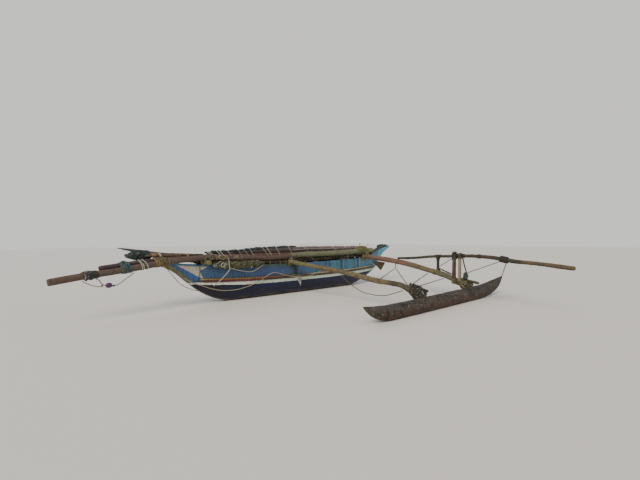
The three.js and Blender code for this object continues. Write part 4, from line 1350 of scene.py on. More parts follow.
def nettingTree():
    tree, given, result = nodeTree("twineMeshOverBundle", (
        ("Twine", "Float"), ("Knot", "Float"), ("Lift", "Float"), ("Slack", "Float"), ("Kept", "Float"),
        ("Seed", "Int"), ("Cord", "Material")))
    normal = addNode(tree, "InputNormal")
    lifted = addNode(tree, "ShaderNodeVectorMath", {0: normal, "Scale": given["Lift"]}, operation="SCALE")
    field = addNode(tree, "ShaderNodeTexNoise", {"Scale": 14.0, "Detail": 2.0})
    around = addNode(tree, "ShaderNodeVectorMath", {0: field.outputs["Color"], 1: (0.5, 0.5, 0.5)},
                     operation="SUBTRACT")
    slack = addNode(tree, "ShaderNodeVectorMath", {0: around, "Scale": given["Slack"]}, operation="SCALE")
    offset = addNode(tree, "ShaderNodeVectorMath", {0: lifted, 1: slack}, operation="ADD")
    draped = addNode(tree, "SetPosition", {"Geometry": given["Geometry"], "Offset": offset})
    kept = addNode(tree, "FunctionNodeRandomValue", {"Probability": given["Kept"], "Seed": given["Seed"]},
                   data_type="BOOLEAN")
    strands = addNode(tree, "MeshToCurve", {"Mesh": draped, "Selection": kept.outputs[3]})
    ring = addNode(tree, "CurvePrimitiveCircle", {"Resolution": 4, "Radius": given["Twine"]})
    cords = addNode(tree, "CurveToMesh", {"Curve": strands, "Profile Curve": ring})
    bead = addNode(tree, "MeshIcoSphere", {"Radius": given["Knot"], "Subdivisions": 1})
    knots = addNode(tree, "InstanceOnPoints", {"Points": draped, "Instance": bead})
    both = addNode(tree, "JoinGeometry")
    tree.links.new(knots.outputs[0], both.inputs[0])
    tree.links.new(cords.outputs[0], both.inputs[0])
    whole = addNode(tree, "RealizeInstances", {0: both})
    dressed = addNode(tree, "SetMaterial", {"Geometry": whole, "Material": given["Cord"]})
    tree.links.new(dressed.outputs[0], result)
    return tree


def netOver(source, name, material, slot, cell, seed):
    # mesh cells lie askew: the skin is turned, cut into even cells and turned back
    turn = Matrix()
    for axis, angle in twineNet["lean"].items():
        turn = turn @ Matrix.Rotation(angle, 4, axis)
    mesh = bpy.data.objects[source].data.copy()
    mesh.materials.clear()
    mesh.transform(turn)
    piece = newObject(name, mesh)
    remesh = piece.modifiers.new("cells", "REMESH")
    remesh.mode, remesh.voxel_size = "VOXEL", cell
    bake(piece)
    piece.data.transform(turn.inverted())
    growOn(piece, nettingTree(), dict(twineNet["values"], Seed=seed, Cord=material))
    return showPiece(piece)


# Worked timber that keeps its solid's outline

def makeBoards():
    deck = timberMaterial("deckBoards", "#3a2d22", "#5f4d3b", "#8d7a60", fibre=0.006, length=0.25)
    for part in ("near", "far"):
        workedBoard("breasthook_" + part, part + "HeadDeck", deck, 0.006)
    seat = timberMaterial("thwartBoard", "#42332a", "#6a5645", "#98866a", turn=90, fibre=0.006, length=0.3)
    for number in (1, 2, 3):
        workedBoard(f"thwart_{number}", f"thwart{number}", seat, 0.009)
    knee = timberMaterial("kneeBoard", "#1d1a14", "#38301f", "#6b5d38", -100, fibre=0.006, length=0.2,
                          stains=[("#8f9a3a", 0.06, 0.9, 0.46, 2, 0.9, 1.1, 0.02)])
    workedBoard("boom_knee", "boomKnee", knee, 0.008)


makeBoards()


# Steering oar: a long thin blade and a round loom

oarLook = dict(sides=28, step=0.03, roll=0.42, loom=1.25)


def makeOar():
    low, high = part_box("steering_oar")
    rings = []
    for x in np.linspace(low.x + 0.003, high.x - 0.003, round((high.x - low.x) / oarLook["step"])):
        _, centre, half = crossSection("steering_oar", x)
        flat = half[0] > 1.6 * half[1]
        ring = []
        for a in anglesOf(oarLook["sides"]):
            across, up = math.cos(a), math.sin(a)
            if flat:
                up = math.copysign(abs(up) ** 0.8, up) * (0.75 + 0.25 * (1 - abs(across)))
            roll, thicker = (oarLook["roll"], 1.0) if flat else (0, oarLook["loom"])
            side = across * half[0] * thicker
            rise = up * half[1] * 1.15 * thicker + 0.0015 * unevenness((x, across * 0.1, 0), 0.25, 4)
            ring.append((x, centre[0] + side * math.cos(roll) - rise * math.sin(roll),
                         centre[1] + side * math.sin(roll) + rise * math.cos(roll)))
        rings.append(ring)
    wood = timberMaterial("oiledOarWood", "#100e0d", "#211c18", "#453b31", fibre=0.005, length=0.4,
                          roughness=0.6)
    Shape().sweep(rings).piece("steeringOar", wood, "brown_wood", "steering_oar")


makeOar()


# Rolled sail between the spars: tan cloth in long folds, tied down, netting heaped on its near half

rollLook = dict(sides=56, step=0.025, folds=0.007, pinch=0.13)
tieCord = dict(radius=0.0075, places=(
    -3.12, -3.06, -2.86, -2.775, -2.54, -2.23, -2.03, -1.86, -1.41, -1.27, -0.95, -0.47,
    0.2, 0.86, 1.45, 2.05, 2.72))


def rollRings():
    low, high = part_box("sail_roll")
    ties = np.array(tieCord["places"])
    rings = []
    for x in np.linspace(low.x + 0.01, high.x - 0.01, round((high.x - low.x) / rollLook["step"])):
        _, centre, half = crossSection("sail_roll", x)
        near = np.exp(-((x - ties) / 0.05) ** 2).max()
        ring = []
        for a in anglesOf(rollLook["sides"]):
            wrinkle = unevenness((x * 0.35, math.cos(a) * 0.1, math.sin(a) * 0.1), 0.035, 2)
            broad = unevenness((x, math.cos(a) * 0.1, math.sin(a) * 0.1), 0.16, 6)
            # the sheet's free edge runs along the near upper side
            edge = (a - 2.35 - 0.25 * math.sin(x * 1.3)) % (2 * math.pi)
            lap = 0.010 * (1 - edge / (2 * math.pi))
            fold = rollLook["folds"] * (wrinkle + 1.3 * broad - 0.7)
            size = half * (1 - rollLook["pinch"] * near) + fold + lap
            ring.append((x, centre[0] + size[0] * math.cos(a), centre[1] + size[1] * math.sin(a)))
        rings.append(ring)
    return np.array(rings)


def sailMaterial():
    # woven cotton, tanned brown-mauve and sun-faded in long streaks, the raised crests of its folds painted
    # lighter as a painted highlight
    look = Look("tannedSailcloth", 0.9)
    look.set("Sheen Weight", 0.2)
    fade = look.grown((0.6, 0.06, 0.06), 0.4, 0.62)
    damp = look.grown(0.16, 0.45, 0.6, 6, 0.65, 0, 5.0)
    weave = look.grown((0.004, 0.004, 0.004), 0.3, 0.7, 2, 0.5)
    fold = look.grown((0.4, 0.012, 0.012), 0.4, 0.6, 4, offset=8.0)
    # the crests of the folds take the lighter colour: painted highlight
    colour = look.layered("#402f2e", (fade, "#66514e"), ((damp, 0.5), "#2e2625"), ((fold, 0.4), "#7a6562"),
                          ((look.within(0, -4, -0.9, 0.7), 0.75), "#35302b"))
    look.raised((fold, 0.004), (weave, 0.0008))
    return look.finished(colour)


def makeSail():
    Shape().sweep(rollRings()).piece("rolledSail", sailMaterial(), "sail_cloth", "sail_roll")
    skin = skinOf("rolledSail")
    rings = []
    for x in np.arange(-3.2, -0.15, 0.02):
        _, centre, half = crossSection("sail_roll", max(x, -3.1))
        taper = min((x + 3.26) / 0.3, (-0.12 - x) / 0.25, 1) ** 0.5
        near = np.exp(-((x - np.array(tieCord["places"])) / 0.035) ** 2).max()
        size = (0.036 + 0.016 * unevenness((x, 0, 0), 0.11, 8)) * taper * (1 - 0.45 * near)
        top = centre[1] + half[1] + 0.004
        side = centre[0] - 0.012 + 0.02 * unevenness((x, 1, 0), 0.4, 9)
        rings.append(foldedRing(x, (side, top), (1.5 * size, size), 24, (0.35, 1, 0.05, 0.045, 3)))
    Shape().sweep(rings).piece("sailNetting", nets["black"], "teal_net")
    netOver("sailNetting", "sailNettingTwine", coir["flat"], "teal_net", 0.034, seed=5)
    whole = np.vstack([skin, skinOf("sailNetting", "innerSpar")])
    ties = Shape()
    draw = random.Random(5)
    for x in tieCord["places"]:
        _, centre, _ = crossSection("sail_roll", min(max(x, -3.1), 3.25))
        slope = draw.uniform(0.25, 0.6) * (1 if x < -0.6 else 0.5)
        line = tightTurn(whole, (x, *centre), (1, 0.1, slope), tieCord["radius"] * 0.8, 0.24)
        ties.tube(line, tieCord["radius"] * draw.choice((0.6, 0.75, 1)), 6, 0, looped=True)
    # bolt rope along the free edge
    edge = [(x, -0.2, 1.285 + 0.012 * math.sin(x * 2.1)) for x in np.arange(-0.35, 2.95, 0.05)]
    ties.tube(onSkin(treeOf(skin), edge, 0.004), 0.008, 6)
    ties.piece("sailTies", coir["pale"], "coir_rope")


makeSail()
print("sail made")


# Nets over the side and on the heads

def makeHeadSleeve():
    # net gathered round the head, drawn in to a twisted point past its tip
    skin = skinOf("nearPlankFloatSide", "nearPlankOffSide", "nearEndBoard", "nearHeadDeck")
    rings = []
    for x in np.arange(-5.125, -4.56, 0.012):
        base = tightTurn(skin, (max(x, -5.06), 0, 1.16), (1, 0, 0), 0.004, 0.3, 60)
        middle = base.mean(0) + (0, 0, 0.02)
        shrink = min(1, max((x + 5.13) / 0.07, 0.12)) ** 0.5
        ring = []
        for point in base:
            out = (point - middle) * shrink
            _, y, z = point
            fine = unevenness((x * 0.5, y * 1.6, z * 1.6), 0.03, 12)
            fold = 0.010 * fine + 0.012 * unevenness((x, y, z), 0.11, 13)
            size = 1 + max(fold, -0.004) * 14 * min(max((-4.60 - x) / 0.05, 0), 1) * 0.5
            ring.append(tuple(middle + out * size + (x - middle[0], 0, 0)))
        rings.append(ring)
    Shape().sweep(rings).piece("nearHeadSleeve", nets["teal"], "teal_net")
    netOver("nearHeadSleeve", "nearSleeveTwine", coir["flat"], "teal_net", 0.03, seed=12)
    turns = Shape()
    wrapped = skinOf("nearHeadSleeve", "nearHeadNet")
    for k, x in enumerate((-5.06, -4.98, -4.93, -4.86, -4.80, -4.70, -4.64)):
        axis = (1, 0.1 * (-1) ** k, 0.25 * (-1) ** k)
        lash(turns, wrapped, (x, 0, 1.2), [axis], 0.0065, 2, 0.016, 0.1, 0.34, seed=k + 60, paint=k % 2)
    turns.piece("nearHeadTurns", [coir["dark"], coir["green"]], "teal_net")


# solid, piece, net, slot, cell of its skin, depth and size of its folds, seed, how far it draws in, slant
softRows = (
    ("net_heap", "netHeap", "olive", "net_heap", 0.013, 0.034, (0.28, 0.05, 0.07), 2, 0.002, 0.5),
    ("head_net_near", "nearHeadNet", "teal", "teal_net", 0.012, 0.03, (0.16, 0.05, 0.05), 3, 0.006, 0.7),
    ("head_net_far", "farHeadNet", "black", "teal_net", 0.012, 0.028, (0.12, 0.06, 0.05), 4),
    ("bundle_far", "strapBundle", "teal", "teal_net", 0.008, 0.016, (0.05, 0.05, 0.12), 5),
    ("spar_lashing_tip", "sparTipWrap", "tarred", "coir_rope", 0.009, 0.014, (0.03, 0.1, 0.1), 6, 0.02),
    ("spar_lashing_mid", "sparMidWrap", "teal", "teal_net", 0.009, 0.014, (0.03, 0.1, 0.1), 7, 0.028),
    ("spar_lashing_head", "sparHeadWrap", "straw", "coir_rope", 0.009, 0.012, (0.03, 0.1, 0.1), 8, 0.034),
    ("spar_lashing_far", "sparFarWrap", "straw", "coir_rope", 0.009, 0.012, (0.04, 0.1, 0.08), 9),
    # the float lashings' lumps are near black to stand for the shade in the gaps between their rope turns:
    # painted shade
    ("float_lashing_near", "nearFloatTangle", "tarred", "dark_rope", 0.01, 0.024, (0.06, 0.1, 0.05), 10,
     0.022),
    ("float_lashing_far", "farFloatTangle", "tarred", "coir_rope", 0.01, 0.024, (0.06, 0.1, 0.05), 11, 0.022),
)
# piece under it, piece, twine, slot, size of a mesh, seed
twineRows = (
    ("netHeap", "heapTwine", "bleached", "net_heap", 0.032, 4),
    ("nearHeadNet", "nearHeadTwine", "flat", "teal_net", 0.028, 6),
    ("farHeadNet", "farHeadTwine", "flat", "teal_net", 0.028, 8),
    ("strapBundle", "strapTwine", "flat", "teal_net", 0.02, 9),
    ("nearFloatTangle", "nearFloatTwine", "flat", "dark_rope", 0.028, 10),
)


def makeNets():
    for node, name, net, *rest in softRows:
        softCopy(node, name, nets[net], *rest)
    for source, name, twine, *rest in twineRows:
        netOver(source, name, coir[twine], *rest)
    cords = Shape()
    strew(cords, skinOf("netHeap"), 30, 0.45, 0.0045, 3, (0, 1, 1, 2), wander=0.6)
    strew(cords, skinOf("netHeap"), 12, 0.4, 0.0095, 4, (3, 0, 3), wander=0.8)
    # cream rope hooked from the spar over the heap, and its loose turns on top
    tree = treeOf(skinOf("netHeap", "longSpar"))
    for start, heading, length in (
            ((-3.17, -0.34, 1.12), (0.25, -0.1, -1), 0.42), ((-3.05, -0.34, 1.10), (0.8, 0, 0.4), 0.5),
            ((-2.8, -0.32, 1.12), (1, 0, -0.3), 0.5), ((-2.55, -0.30, 1.10), (1, 0, 0.3), 0.6),
            ((-2.9, -0.32, 1.06), (1, 0, 0.1), 0.6), ((-3.12, -0.34, 1.0), (-0.2, 0, -1), 0.3)):
        crawl(cords, tree, start, heading, length, 0.0105, int(-start[0] * 100), 0.28, 3)
    cords.piece("heapCords", [coir["olive"], coir["dark"], coir["green"], coir["pale"]], "coir_rope")
    cords = Shape()
    strew(cords, skinOf("nearHeadNet"), 40, 0.4, 0.004, 5, (0, 1, 1, 2), heading=(1, 0, -0.7), wander=0.5)
    strew(cords, skinOf("farHeadNet"), 34, 0.3, 0.0045, 6, (1, 1, 0), wander=0.7)
    # frayed ends that stand up from the far head's net
    draw = random.Random(21)
    top = treeOf(skinOf("farHeadNet"))
    for x in (3.80, 3.88, 3.99, 4.07, 4.16, 4.27, 4.36, 4.40):
        found, normal, _, _ = top.find_nearest(Vector((x, draw.uniform(-0.06, 0.04), 1.42)))
        away = Vector((draw.uniform(-0.2, 0.9), draw.uniform(-0.4, 0.4), draw.uniform(0.3, 1.0))).normalized()
        reach = draw.uniform(0.05, 0.085)
        end = [tuple(found + away * reach * t + Vector((0, 0, -0.3 * reach * t * t)))
               for t in (-0.1, 0.25, 0.6, 1)]
        cords.tube(end, [0.006, 0.0055, 0.004, 0.0015], 5, 1)
    strew(cords, skinOf("strapBundle"), 14, 0.2, 0.004, 7, (0, 1), heading=(0, 0, -1), wander=0.5)
    cords.piece("headCords", [coir["teal"], coir["green"], coir["pale"]], "teal_net")
    cords = Shape()
    strew(cords, skinOf("nearFloatTangle"), 34, 0.35, 0.006, 8, (0, 1, 3, 0, 1), wander=0.7)
    strew(cords, skinOf("farFloatTangle"), 34, 0.35, 0.0065, 9, (2, 0, 3, 1, 0), wander=0.7)
    cords.piece("floatCords", [coir["dark"], coir["pale"], coir["straw"], coir["olive"]], "coir_rope")


stowedLook = dict(spans=dict(near=(-3.95, -0.72), far=(-0.43, 2.64)), half=(0.095, 0.074), sides=36,
                  twine=dict(near="flat", far="bleached"))


def makeStowedNet():
    # spare nets laid along the thwarts under the spars, one each side of the near boom
    cords = Shape()
    for number, (part, (start, end)) in enumerate(stowedLook["spans"].items()):
        rings = []
        for x in np.arange(start, end, 0.022):
            close = closing(x, start, end, 0.2) * topHalf(x) / topHalf(0)
            middle = (-0.01 + 0.02 * unevenness((x, 0, 0), 0.5, 4),
                      sheerHeight(x) + 0.088 + 0.012 * unevenness((x, 1, 0), 0.35, 6))
            half = [size * close for size in stowedLook["half"]]
            rings.append(foldedRing(x, middle, half, stowedLook["sides"], (0.3, 0.6, 0.09, 0.05, 14)))
        name = part + "StowedNet"
        Shape().sweep(rings).piece(name, nets["olive"], "net_heap")
        netOver(name, name + "Twine", coir[stowedLook["twine"][part]], "net_heap", 0.05, seed=15 + number)
        strew(cords, skinOf(name), 26, 0.45, 0.006, 16 + number, (0, 1, 2, 3, 1), wander=0.6)
    cords.piece("stowedNetCords", [coir["pale"], coir["olive"], coir["tan"], coir["dark"]], "coir_rope")


headPoles = dict(
    rows=(((-4.71, -0.150, 1.240), (-4.1, -0.125, 1.222), (-3.52, -0.090, 1.212), 0.026),
          ((-4.66, -0.100, 1.248), (-4.0, -0.062, 1.208), (-3.46, -0.030, 1.172), 0.025),
          ((-4.60, -0.035, 1.232), (-4.0, -0.010, 1.188), (-3.50, 0.016, 1.156), 0.023),
          ((-4.64, -0.128, 1.275), (-4.25, -0.100, 1.248), (-3.86, -0.075, 1.236), 0.018)),
    sides=12, step=0.03)


def makeHeadPoles():
    # short poles stowed on the head beside the spars, under the oar, bound with straw cord
    wood = timberMaterial("splitPoleWood", "#33251b", "#5a4334", "#8a6f58", turn=0, stains=[
        ("#a08d84", 0.04, 0.6, 0.62)])
    for number, (*route, radius) in enumerate(headPoles["rows"]):
        line = evened(smoothPath(route, 0.03), headPoles["step"])
        first, second, _ = sidesOf(line)
        rings = []
        for i, centre in enumerate(line):
            ring = []
            for a in anglesOf(headPoles["sides"]):
                out = (first[i] * math.cos(a) + second[i] * math.sin(a)) * radius
                ring.append(tuple(centre + out * (1 + 0.12 * unevenness(centre + out, 0.12, number + 5))))
            rings.append(ring)
        Shape().sweep(rings, distances(line)).piece(f"headPole{number + 1}", wood, "brown_wood")
    bound = skinOf("headPole1", "headPole2", "headPole3", "headPole4")
    turns = Shape()
    for k, (x, z) in enumerate(((-4.56, 1.24), (-4.49, 1.235), (-4.40, 1.23), (-4.02, 1.215), (-3.72, 1.20))):
        axis = (1, 0.1 * (-1) ** k, 0.2 * (-1) ** k)
        lash(turns, bound, (x, -0.085, z), [axis], 0.0085, 4 - k // 2, 0.019, 0.14, seed=k + 140,
             paint=(0, 0, 1, 2, 1)[k])
    strew(turns, bound, 16, 0.3, 0.006, 44, (0, 1, 0), heading=(1, 0, -0.4), wander=0.6)
    turns.piece("headPoleTurns", [coir["straw"], coir["pale"], coir["olive"]], "coir_rope")


def makeFarEdgeNet():
    # dark net gathered along the far head's edge on the float side
    rings = []
    for x in np.arange(3.22, 4.12, 0.018):
        close = closing(x, 3.22, 4.13, 0.14)
        middle = -0.75 * topHalf(x), sheerHeight(x) + 0.036
        rings.append(foldedRing(x, middle, (0.058 * close, 0.042 * close), 28, (0.34, 0.6, 0.08, 0.045, 17)))
    Shape().sweep(rings).piece("farEdgeNet", nets["tarred"], "net_heap")
    netOver("farEdgeNet", "farEdgeTwine", coir["flat"], "teal_net", 0.028, seed=18)


def makeSideStrap():
    # wet net hung over the plank beside the near boom
    rings = []
    for z in np.arange(0.49, 0.872, 0.012):
        ring = []
        for a in anglesOf(48):
            x = -0.395 + 0.105 * math.cos(a) * (1 + 0.12 * unevenness((z, math.cos(a), 0), 0.12, 19))
            out = 0.010 * (1 + 0.7 * unevenness((x, 0, z * 0.2), 0.022, 20)) * abs(math.sin(a)) ** 0.5
            ring.append((x, -(plankFace(x, z) + 0.008 + (out if math.sin(a) > 0 else -0.003)), z))
        rings.append(ring)
    strap = Shape().sweep(rings)
    strap.turnOver()
    strap.piece("sideStrapNet", nets["teal"], "teal_net")
    netOver("sideStrapNet", "sideStrapTwine", coir["flat"], "teal_net", 0.022, seed=21)


makeNets()
makeHeadSleeve()
makeStowedNet()
makeHeadPoles()
makeFarEdgeNet()
makeSideStrap()
print("nets made")


# Lashings of the frame

def boomDirection(name, x=None, y=None):
    # where a timber's middle is and which way it runs, at a place along it
    mesh = bpy.data.objects[name].data
    place = np.array([v.co for v in mesh.vertices])
    axis, value = (0, x) if x is not None else (1, y)
    rows = [place[np.abs(place[:, axis] - value - shift) < 0.06].mean(0) for shift in (-0.1, 0, 0.1)]
    return rows[1], unit(rows[2] - rows[0])


# Colours of the lashings, which the rows below name by their number here
lashingCords = ("straw", "pale", "olive", "dark", "teal", "tan", "green")
tipSpar, headSpars = ("longSpar",), ("longSpar", "innerSpar")
# bound pieces, place, slope of the turns, cord, turns, spacing, unevenness, reach, seed, colour
sparTurns = (
    (tipSpar, (-5.98, -0.344, 0.89), 0.14, 0.009, 3, None, 0.12, 0.3, 1, 1),
    (tipSpar, (-5.85, -0.342, 0.905), 0.14, 0.009, 9, 0.021, 0.2, 0.3, 2, 3),
    (headSpars, (-5.21, -0.26, 1.02), 0.1, 0.0085, 10, 0.0185, 0.1, 0.3, 3, 4),
    (headSpars, (-4.88, -0.25, 1.05), 0.25, 0.008, 2, 0.018, 0.12, 0.3, 4, 1),
    (headSpars, (-4.79, -0.24, 1.06), 0.2, 0.008, 1, 0.02, 0.12, 0.3, 5, 1),
    (headSpars, (-4.47, -0.23, 1.10), 0.12, 0.0085, 7, 0.034, 0.2, 0.3, 6, 5),
    (headSpars, (-4.43, -0.23, 1.10), -0.25, 0.0085, 3, 0.06, 0.2, 0.3, 16, 0),
    (tipSpar, (-4.30, -0.29, 1.09), 0.3, 0.008, 3, 0.03, 0.2, 0.2, 7, 0),
)
# taut cords from the rail to the seam: X and Z at the top and at the foot, radius, colour
railCords = (
    (1.635, 0.93, 1.640, 0.545, 0.012, 3), (1.906, 0.93, 1.938, 0.55, 0.007, 4),
    (2.286, 0.95, 2.315, 0.565, 0.007, 4), (2.470, 0.95, 2.525, 0.57, 0.008, 3),
    (2.590, 0.94, 2.60, 0.60, 0.006, 1), (0.90, 0.92, 0.88, 0.50, 0.006, 3),
)


def lashSpars(shape):
    # straw turns over the head, pale rings nearer the tip
    for bound, place, slope, cord, turns, spread, lean, reach, seed, ink in sparTurns:
        lash(shape, skinOf(*bound), place, [(1, 0, slope)], cord, turns, spread, lean, reach, 1, seed, ink)
    # bleached cord wound on the long spar over the heap
    for k, x in enumerate((-3.05, -2.78, -2.45)):
        at, along = boomDirection("longSpar", x=x)
        axis = along + (0, 0, 0.5 * (-1) ** k)
        lash(shape, skinOf("longSpar"), at, [axis], 0.008, 2 + k % 2, 0.02, 0.25, 0.16, seed=70 + k, paint=0)
    # crutch: each spar is tied down to it
    for name, y in (("longSpar", -0.25), ("innerSpar", -0.085), ("outerSpar", 0.116)):
        at, along = boomDirection(name, x=-3.3)
        lash(shape, skinOf("sparCrutch", name), (at + (-3.3, y, 1.05)) / 2, [(1, 1, 0), (1, -1, 0)], 0.008, 3,
             seed=8, paint=2, reach=0.22)
    for side in (-1, 1):
        lash(shape, skinOf("sparCrutch", "breasthook_near"), (-3.3, side * 0.14, 1.0), [(0.1, 1, 0)],
             0.008, 5, seed=9, paint=0, reach=0.25)


def lashBooms(shape):
    # booms on the rails and planks
    for boom, plank, x, ink in (("nearBoom", "midPlank", -0.6, 2), ("farBoom", "farPlank", 2.83, 0)):
        for side, word in ((-1, "FloatSide"), (1, "OffSide")):
            y = side * (topHalf(x) - 0.015)
            at, along = boomDirection(boom, y=y)
            cross = np.array((1.0, 0, 0))
            lash(shape, skinOf(boom, plank + word), (at[0], y, sheerHeight(at[0]) + 0.05),
                 [along + cross, along - cross], 0.009, 4, seed=12, paint=ink, reach=0.15, layers=2)
    # rails tied to the planks' tops
    for side, word, rail, ink in ((-1, "FloatSide", "floatSideRail", 2), (1, "OffSide", "offSideRail", 3)):
        for x in (-2.35, -2.05, -1.72, -1.3, -0.95, -0.74):
            place = (x, side * (topHalf(x) - 0.015), sheerHeight(x) + 0.035)
            lash(shape, skinOf(rail, "midPlank" + word), place, [(1, 0, 0.15)], 0.0055, 4, 0.013, 0.08, 0.095,
                 seed=int(90 + 10 * x), paint=ink)


def lashFarSpars(shape):
    # spars on the far boom, heavy olive rope
    at, along = boomDirection("longSpar", x=2.9)
    lash(shape, skinOf("longSpar", "farBoom"), at + (0, 0, -0.07), [(1, 0.5, 0), (1, -0.6, 0)],
         0.013, 4, 0.032, 0.08, 0.26, seed=13, paint=2)
    # hump of heavy olive turns over the far wrap, two ends standing up as hooks
    wrap = skinOf("longSpar", "sparFarWrap")
    for k, x in enumerate((2.44, 2.53, 2.62, 2.72, 2.83, 2.95)):
        lash(shape, wrap, (x, -0.16, 1.17), [(1, 0.1, 0.55)], 0.0155, 2, 0.034, 0.06, seed=30 + k, paint=2)
    lash(shape, wrap, (2.66, -0.16, 1.17), [(1, 0, -0.5)], 0.008, 3, 0.09, 0.1, seed=37, paint=4)
    for root, tip in (((2.60, -0.15, 1.30), (2.56, -0.18, 1.415)),
                      ((2.86, -0.15, 1.28), (2.97, -0.2, 1.345))):
        root, tip = np.array(root), np.array(tip)
        bend = [root, (root + tip) / 2 + (0.02, 0, 0.01), tip, tip + (0.035, -0.01, 0.002),
                tip + (0.05, -0.012, -0.03)]
        shape.tube(smoothPath(bend, 0.01), 0.0075, 6, 4)
    for topX, topZ, footX, footZ, thick, ink in railCords:
        places = [(topX + (footX - topX) * t, topZ + (footZ - topZ) * t) for t in np.linspace(0, 1, 14)]
        line = [(x, -(plankFace(topX, z) + thick + 0.004), z) for x, z in places]
        shape.tube(line, thick, 7, ink, strands=3, pitch=0.05)
    # pale tail thrown over the spar
    tail = onSkin(treeOf(skinOf("longSpar", "farPlankFloatSide", "floatSideRail")), [
        (1.807 + 0.2 * t, -0.29 + 0.03 * t, 1.20 - 0.33 * t) for t in np.linspace(0, 1, 22)])
    shape.tube(smoothPath(tail[::3], 0.012), 0.007, 6, 1)
    for name in ("innerSpar", "outerSpar"):
        at, along = boomDirection(name, x=2.85)
        lash(shape, skinOf(name, "farBoom"), at + (0, 0, -0.05), [(1, 1, 0), (1, -1, 0)], 0.009, 3, seed=15,
             paint=2, reach=0.22)


def lashFloat(shape):
    # posts on the far boom and under the outboard pole
    up = np.array((0, 0, 1.0))
    for post, y in (("innerPost", -3.51), ("mainPost", -4.148), ("backPost", -4.313)):
        middle = skinOf(post).reshape(-1, 3).mean(0)
        for timber, ink, shift in (("farBoom", 2, 0.05), ("outboardPole", 3, -0.03)):
            at, along = boomDirection(timber, y=y)
            centre = (at + (middle[0], middle[1], at[2])) / 2
            if post == "innerPost":
                centre = centre + (0, 0, shift)
            lash(shape, skinOf(timber, post), centre, [along + up, along - up], 0.008,
                 5 - (post == "backPost"), seed=len(post) + 5, paint=ink, reach=0.2, lean=0.1)
    # pegs across the float, boom ends and pole joint: axis, cord, turns, spacing, layers
    pegTurns = (((0.2, 1, 0.3), 0.009, 4, 0.034, 2), ((-0.3, 1, -0.5), 0.009, 4, 0.034, 2),
                ((0.5, 1, 0), 0.007, 2, 0.07, 1))
    for boom, peg, at, inks in (("nearBoom", "nearPeg", (-0.428, -4.30, 0.46), (3, 3, 1)),
                                ("farBoom", "farPeg", (1.74, -4.38, 0.47), (3, 2, 0))):
        for k, (axis, cord, turns, spread, layers) in enumerate(pegTurns):
            lash(shape, skinOf(boom, peg), at, [axis], cord, turns, spread, 0.22, 0.16, layers,
                 17 + k, inks[k])
    for y, cord, turns, spread, lean, layers, seed in (
            (-5.49, 0.009, 9, 0.024, 0.15, 2, 18), (-4.82, 0.007, 3, 0.03, 0.2, 1, 19)):
        at, along = boomDirection("outboardPole", y=y)
        lash(shape, skinOf("outboardPole"), at, [along], cord, turns, spread, lean, 0.15, layers, seed, 3)


def strapHull(shape):
    # strap from the near boom to the seam, its ends hanging down the log
    skin = skinOf("nearBoom", "midPlankFloatSide")
    skin = skin[(np.abs(skin[:, :, 1] + 0.19).max(1) < 0.16) & (skin[:, :, 2].min(1) > 0.42)]
    for k in range(4):
        line = tightTurn(skin, (-0.37 + 0.014 * k, -0.2, 0.5), (1, 0.02 * k, 0.45), 0.006, 0.6, 60)
        if line is not None:
            shape.tube(line, 0.0055, 6, 6, looped=True)
    tree = treeOf(skinOf("hollowLog", "seamBattenFloatSide"))
    for k, ink in enumerate((1, 2, 1, 1, 4, 1, 2)):
        tail = onSkin(tree, [
            (-0.385 + 0.034 * k + (0.13 - 0.030 * k) * t + 0.006 * math.sin(6 * t + k), -0.30,
             0.50 - (0.26 + 0.02 * (k % 3)) * t) for t in np.linspace(0, 1, 16)])
        shape.tube(smoothPath(tail[::3], 0.015), 0.0085, 6, ink)
    # crossing straw ropes and a light tail over the far float tangle
    for k, (axis, ink) in enumerate((((1, 0.6, 0.2), 0), ((1, -0.7, 0.3), 3), ((0.8, 0.3, -0.6), 0),
                                     ((1, 0.1, 0.9), 2))):
        lash(shape, skinOf("farFloatTangle"), (1.75, -4.43, 0.42), [axis], 0.0085, 2, 0.06, 0.25, 0.4,
             seed=80 + k, paint=ink)
    lash(shape, skinOf("nearFloatTangle"), (-0.42, -4.40, 0.41), [(0.3, 1, 0.3), (1, 0.4, 0.3)], 0.008, 4,
         0.045, 0.2, 0.4, seed=88, paint=3)


def makeLashings():
    shape = Shape()
    for bind in (lashSpars, lashBooms, lashFarSpars, lashFloat, strapHull):
        bind(shape)
    shape.piece("lashings", [coir[name] for name in lashingCords], "coir_rope")


makeLashings()
print("lashings made")


# Stays and straps, hauled taut

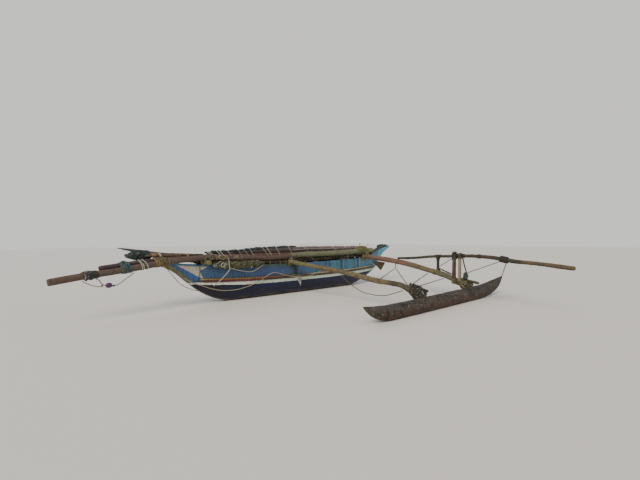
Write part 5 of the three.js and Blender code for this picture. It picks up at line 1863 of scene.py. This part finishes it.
def makeStays():
    stays = Shape()
    for node in ("stay_inner", "stay_middle", "stay_outer", "boom_strop", "stay_tip"):
        radius = 0.012 if node == "boom_strop" else 0.011
        line = Shape().tube(evened(np.array(endsOf(node)), 0.03), radius, 8, strands=3, pitch=0.05)
        line.piece(node.replace("_", "") + "Line", coir["dark"], "dark_rope", node)
    for start, end, radius, ink in (
            ((-0.380, -4.330, 0.528), (1.920, -3.710, 0.500), 0.010, 0),
            ((1.50, -5.42, 1.06), (1.66, -4.52, 0.72), 0.009, 0),
            ((1.80, -4.12, 1.13), (1.93, -3.55, 0.80), 0.010, 1)):
        stays.tube(evened(np.array([start, end]), 0.03), radius, 8, ink, strands=3, pitch=0.05)
    stays.piece("floatGuys", [coir["dark"], coir["olive"]], "dark_rope")
    line, radius = poleOf("post_strap", 2)
    Shape().tube(evened(smoothPath(line, 0.03), 0.02), 0.017, 8, strands=3, pitch=0.07).piece(
        "poleStrap", coir["dark"], "dark_rope", "post_strap")


makeStays()
print("stays made")


# Soft studio: pale floor, big soft lamps

def makeStudio():
    mesh = bpy.data.meshes.new("studioFloor")
    mesh.from_pydata([(-60, -60, 0), (60, -60, 0), (60, 60, 0), (-60, 60, 0)], [], [(0, 1, 2, 3)])
    floor = newObject("studioFloor", mesh)
    mesh.materials.append(Look("palePaper", 0.9).finished(linear("#e3e0da")))
    world = bpy.data.worlds.new("studio")
    world.use_nodes = True
    tree = world.node_tree
    seen = addNode(tree, "LightPath").outputs["Is Camera Ray"]
    glow = addNode(tree, "Mix", {0: seen, 6: "#c9d2de", 7: "#f0efec"}, data_type="RGBA")
    power = addNode(tree, "MapRange", {"Value": seen, "To Min": 0.42, "To Max": 1.0})
    tree.links.new(glow.outputs[2], tree.nodes["Background"].inputs[0])
    tree.links.new(power.outputs[0], tree.nodes["Background"].inputs[1])
    bpy.context.scene.world = world
    for name, place, width, power, colour in (
            ("keyLamp", (-10, -4.5, 8), 35, 3.2, "#fff1de"), ("fillLamp", (9, -10, 6), 70, 0.55, "#e6eeff"),
            ("backLamp", (3, 12, 7), 60, 1.0, "#eef3ff")):
        lamp = newObject(name, bpy.data.lights.new(name, "SUN"))
        lamp.data.angle, lamp.data.energy, lamp.data.color = math.radians(width), power, linear(colour)[:3]
        lamp.location = place
        lamp.rotation_euler = (-Vector(place)).to_track_quat("-Z", "Y").to_euler()


makeStudio()
